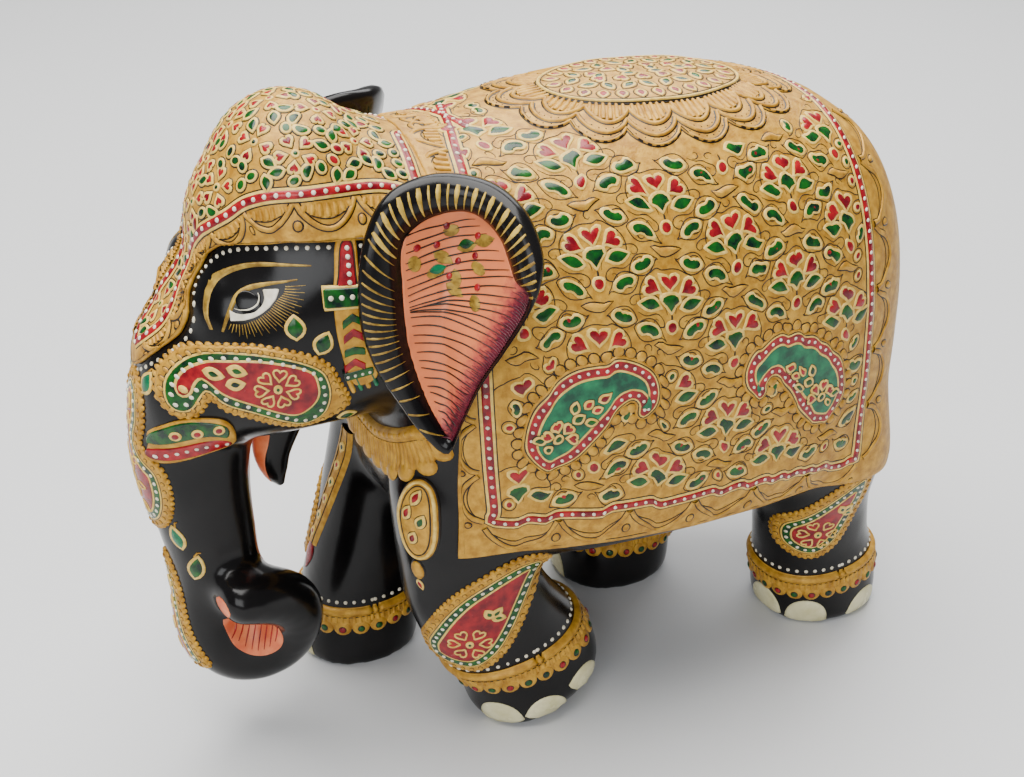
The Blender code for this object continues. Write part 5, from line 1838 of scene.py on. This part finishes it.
def dress_plaques():
    """The oval and its drops on the left foreleg, and the strip down the right one."""
    inks = Set("plaque", gilt=("left_leg_plaque", "right_leg_plaque"))
    oval = mirrored(((0, 9.9), (2.6, 8.7), (4.4, 5.1), (5, 0.1), (4.4, -5.1), (2.8, -8.5), (0, -9.9)))
    oval = resampled(smooth(oval, True, 4), 0.7, True)
    spot = Spot(wood_tree, on_front(29.8, 66.5), out=(0.35, -1, 0))
    field(inks.line, spot, inset(oval, -0.35), 0.5, rounding=0.2)
    field(inks.gilt, spot, oval, 0.9, rounding=0.4, pitch=1.0)
    ribbon(inks.line, spot, shrunk(oval, 1.4), 0.36, 0.14, True, 0.9)
    ribbon(inks.cream, spot, shrunk(oval, 0.6), 0.7, 0.28, True, 0.9)
    for x, z, kind in ((-0.8, 4.4, "red"), (1.0, -0.6, "green"), (-1.0, -5.4, "red"), (-2.4, 0.6, "red")):
        inks.gem(spot, placed(leaf(3.4, 1.8), x, z, 20), kind, 0.3, 0.2, 0.36, 0.9)
    low = Spot(wood_tree, on_front(29.0, 53.0), out=(0.35, -1, 0))
    tail = blob(5.0, 3.4) - np.array([0, 2.5])
    pad(inks.line, low, tail, 0.3, 0, 0.3)
    pad(inks.gilt, low, tail, 0.9, 0, 0, 0.3)
    inks.gem(low, placed(leaf(2.6, 1.4), -0.6, -3.4, 160), "red", 0.3, 0.2, 0.4)
    edge = Strip(wood_tree, [on_front(x, z) for x, z in
                             ((-14.5, 66), (-15.5, 58), (-17.0, 49), (-19.0, 39), (-20.6, 30), (-21, 23))])
    path = edge.line(0, 0, edge.length - 9)
    ribbon(inks.gilt, edge, path, 5.4, 0.9)
    ribbon(inks.line, edge, edge.line(-1.2, 0, edge.length - 9), 0.3, 0.96)
    ribbon(inks.line, edge, edge.line(1.2, 0, edge.length - 9), 0.3, 0.96)
    for k, s in enumerate(np.arange(4, edge.length - 11, 5.5)):
        inks.gem(edge, placed(leaf(2.8, 1.5), s, 0, 90), "red" if k % 2 else "green", 0.25, 0, 0.3, 0.85)
    pad(inks.red, edge, placed(leaf(9.0, 4.4), edge.length - 9.4, 0, 90), 0.6)
    return inks


# ---------------------------------------------------------------- tail and lip
def along(points, radii, name, mat, sides=18, ripple=0.0):
    """A round rod along a path, its surface rippled into beads if asked."""
    path = smooth(np.column_stack([points, radii]), False, 12)
    run = np.concatenate([[0], np.cumsum(np.linalg.norm(np.diff(path[:, :3], axis=0), axis=1))])
    s = np.arange(0, run[-1], 0.6)
    path = np.stack([np.interp(s, run, c) for c in path.T], 1)
    ahead = np.gradient(path[:, :3], axis=0)
    ahead /= np.linalg.norm(ahead, axis=1, keepdims=True)
    side = np.cross(ahead, [1.0, 0, 0])
    side /= np.linalg.norm(side, axis=1, keepdims=True)
    other = np.cross(ahead, side)
    turn = np.linspace(0, 2 * np.pi, sides, endpoint=False)
    verts, faces = [], []
    for i in range(len(path)):
        r = path[i, 3] * (1 - ripple + ripple * abs(math.sin(math.pi * s[i] / 2.4)))
        verts.append(path[i, :3] + r * (np.cos(turn)[:, None] * side[i] + np.sin(turn)[:, None] * other[i]))
    n = sides
    for i in range(len(path) - 1):
        for k in range(n):
            j = (k + 1) % n
            faces.append((i * n + k, i * n + j, (i + 1) * n + j, (i + 1) * n + k))
    faces += [tuple(range(n))[::-1], tuple((len(path) - 1) * n + k for k in range(n))]
    return new_object(name, np.vstack(verts) * MM, faces, mat)


def tail():
    """The beaded rope down the rump and the black tuft at its end."""
    rope = ((82.5, 131, 1.6), (89, 123, 2.4), (92.1, 112, 2.6), (92.9, 98, 2.5), (93.1, 84, 2.3),
            (92.9, 70, 2.1), (92.1, 58, 1.9))
    tuft = ((92.3, 60, 1.6), (91.3, 52, 2.9), (90.8, 44, 2.3), (90.7, 38, 0.4))
    rope = along([(0, y + Y0, z) for y, z, r in rope], [r for y, z, r in rope], "tail_rope", GILT, ripple=0.3)
    tuft = along([(0, y + Y0, z) for y, z, r in tuft], [r for y, z, r in tuft], "tail_tuft", LACQUER)
    settle(rope, "tail")
    settle(tuft)


def lip():
    """The tongue-like lip under the jaw, salmon on its front."""
    route = ((-60.5, 92), (-64, 83), (-66.2, 75), (-66, 69), (-64.8, 64.4))
    points = [(0, y + Y0, z) for y, z in route]
    body = along(points, [7.2, 5.8, 4.4, 2.9, 0.6], "lip", LACQUER, sides=28)
    settle(body, "lower_lip")
    tree = tree_of(body)
    chart = ray_chart(tree, (-7, 7), (64, 90), 0.5, lambda u, v: ((u, -90, v), (0, 1, 0)), 0)
    inner = Ink("lip_inner", PEACH)
    half = ((0, 88), (4.2, 87), (4.4, 80), (3.2, 74), (1.9, 68.8), (0.7, 66.4), (0, 66))
    field(inner, chart, resampled(smooth(mirrored(half), True, 3), 0.6, True), 0.15, rounding=0.1, pitch=0.8)


dress_leg_paisleys()
for one in BANDS:
    dress_band(one)
nails()
dress_collar()
dress_plaques()
tail()
lip()


# ---------------------------------------------------------------- stage, light and camera
def build_inks():
    """Turn every ink that was drawn with into a piece."""
    for ink in Ink.inks:
        ink.build()


def studio():
    """A pale sheet of paper that lies flat under the elephant and curves up behind it."""
    half_width, heading = 3.0, math.radians(65)
    mat, nodes, links, shader = nodes_of("paper")
    coord = nodes.new("ShaderNodeTexCoord")
    tone = noise(nodes, links, coord, 1.5, 2.0)
    color = ramp(nodes, links, tone.outputs["Fac"], ((0.3, (0.55, 0.555, 0.56)), (0.7, (0.59, 0.595, 0.60))))
    links.new(color.outputs["Color"], shader.inputs["Base Color"])
    shader.inputs["Roughness"].default_value = 0.55
    profile = [(0, -1.6), (0, 1.2), (0.12, 1.65), (0.5, 2.0), (1.2, 2.15), (2.6, 2.2)]
    verts, faces = [], []
    for z, y in profile:
        verts += [(-half_width, y, z), (half_width, y, z)]
    for i in range(len(profile) - 1):
        faces.append((2 * i, 2 * i + 1, 2 * i + 3, 2 * i + 2))
    floor = new_object("floor", verts, faces, mat)
    floor.matrix_world = Matrix.Rotation(heading, 4, "Z")


def light(name, place, target, size, power, color=(1, 1, 1)):
    """A soft rectangular lamp aimed at a target."""
    lamp = bpy.data.lights.new(name, "AREA")
    lamp.shape = "RECTANGLE"
    lamp.size, lamp.size_y = size
    lamp.energy = power
    lamp.color = color
    obj = bpy.data.objects.new(name, lamp)
    bpy.context.scene.collection.objects.link(obj)
    obj.location = place
    aim = Vector(target) - Vector(place)
    obj.rotation_mode = "QUATERNION"
    obj.rotation_quaternion = aim.to_track_quat("-Z", "Y")


def camera():
    """A short telephoto lens above the elephant's left shoulder."""
    back = Vector(VIEW).normalized()
    data = bpy.data.cameras.new("camera")
    data.lens = 50.98
    data.sensor_width = 36
    data.clip_start = 0.01
    obj = bpy.data.objects.new("camera", data)
    bpy.context.scene.collection.objects.link(obj)
    obj.location = Vector((0.2749, -0.1344 + Y0 * MM, 0.2508))
    obj.rotation_mode = "QUATERNION"
    obj.rotation_quaternion = (-back).to_track_quat("-Z", "Y")
    bpy.context.scene.camera = obj


def world():
    """Faint cool light from all round."""
    made = bpy.data.worlds.new("studio")
    bpy.context.scene.world = made
    made.use_nodes = True
    ground = made.node_tree.nodes["Background"]
    ground.inputs["Color"].default_value = (0.93, 0.96, 1.0, 1)
    ground.inputs["Strength"].default_value = 0.24


build_inks()
for name, node in frame["nodes"].items():
    if not node.data.materials or name not in ("carved_block", "saddle_cloth"):
        node.data.materials.clear()
        node.data.materials.append(GILT if "anklet" in name or "collar" in name else LACQUER)
studio()
world()
light("key", (-0.12, -0.10, 1.0), (0, 0, 0.06), (0.9, 0.9), 27, (1, 0.985, 0.96))
light("fill", (0.8, -0.6, 0.55), (0, 0, 0.07), (0.8, 0.6), 8, (0.97, 0.985, 1))
light("back", (-0.6, 0.5, 0.8), (0, 0, 0.08), (0.8, 0.5), 8)
camera()
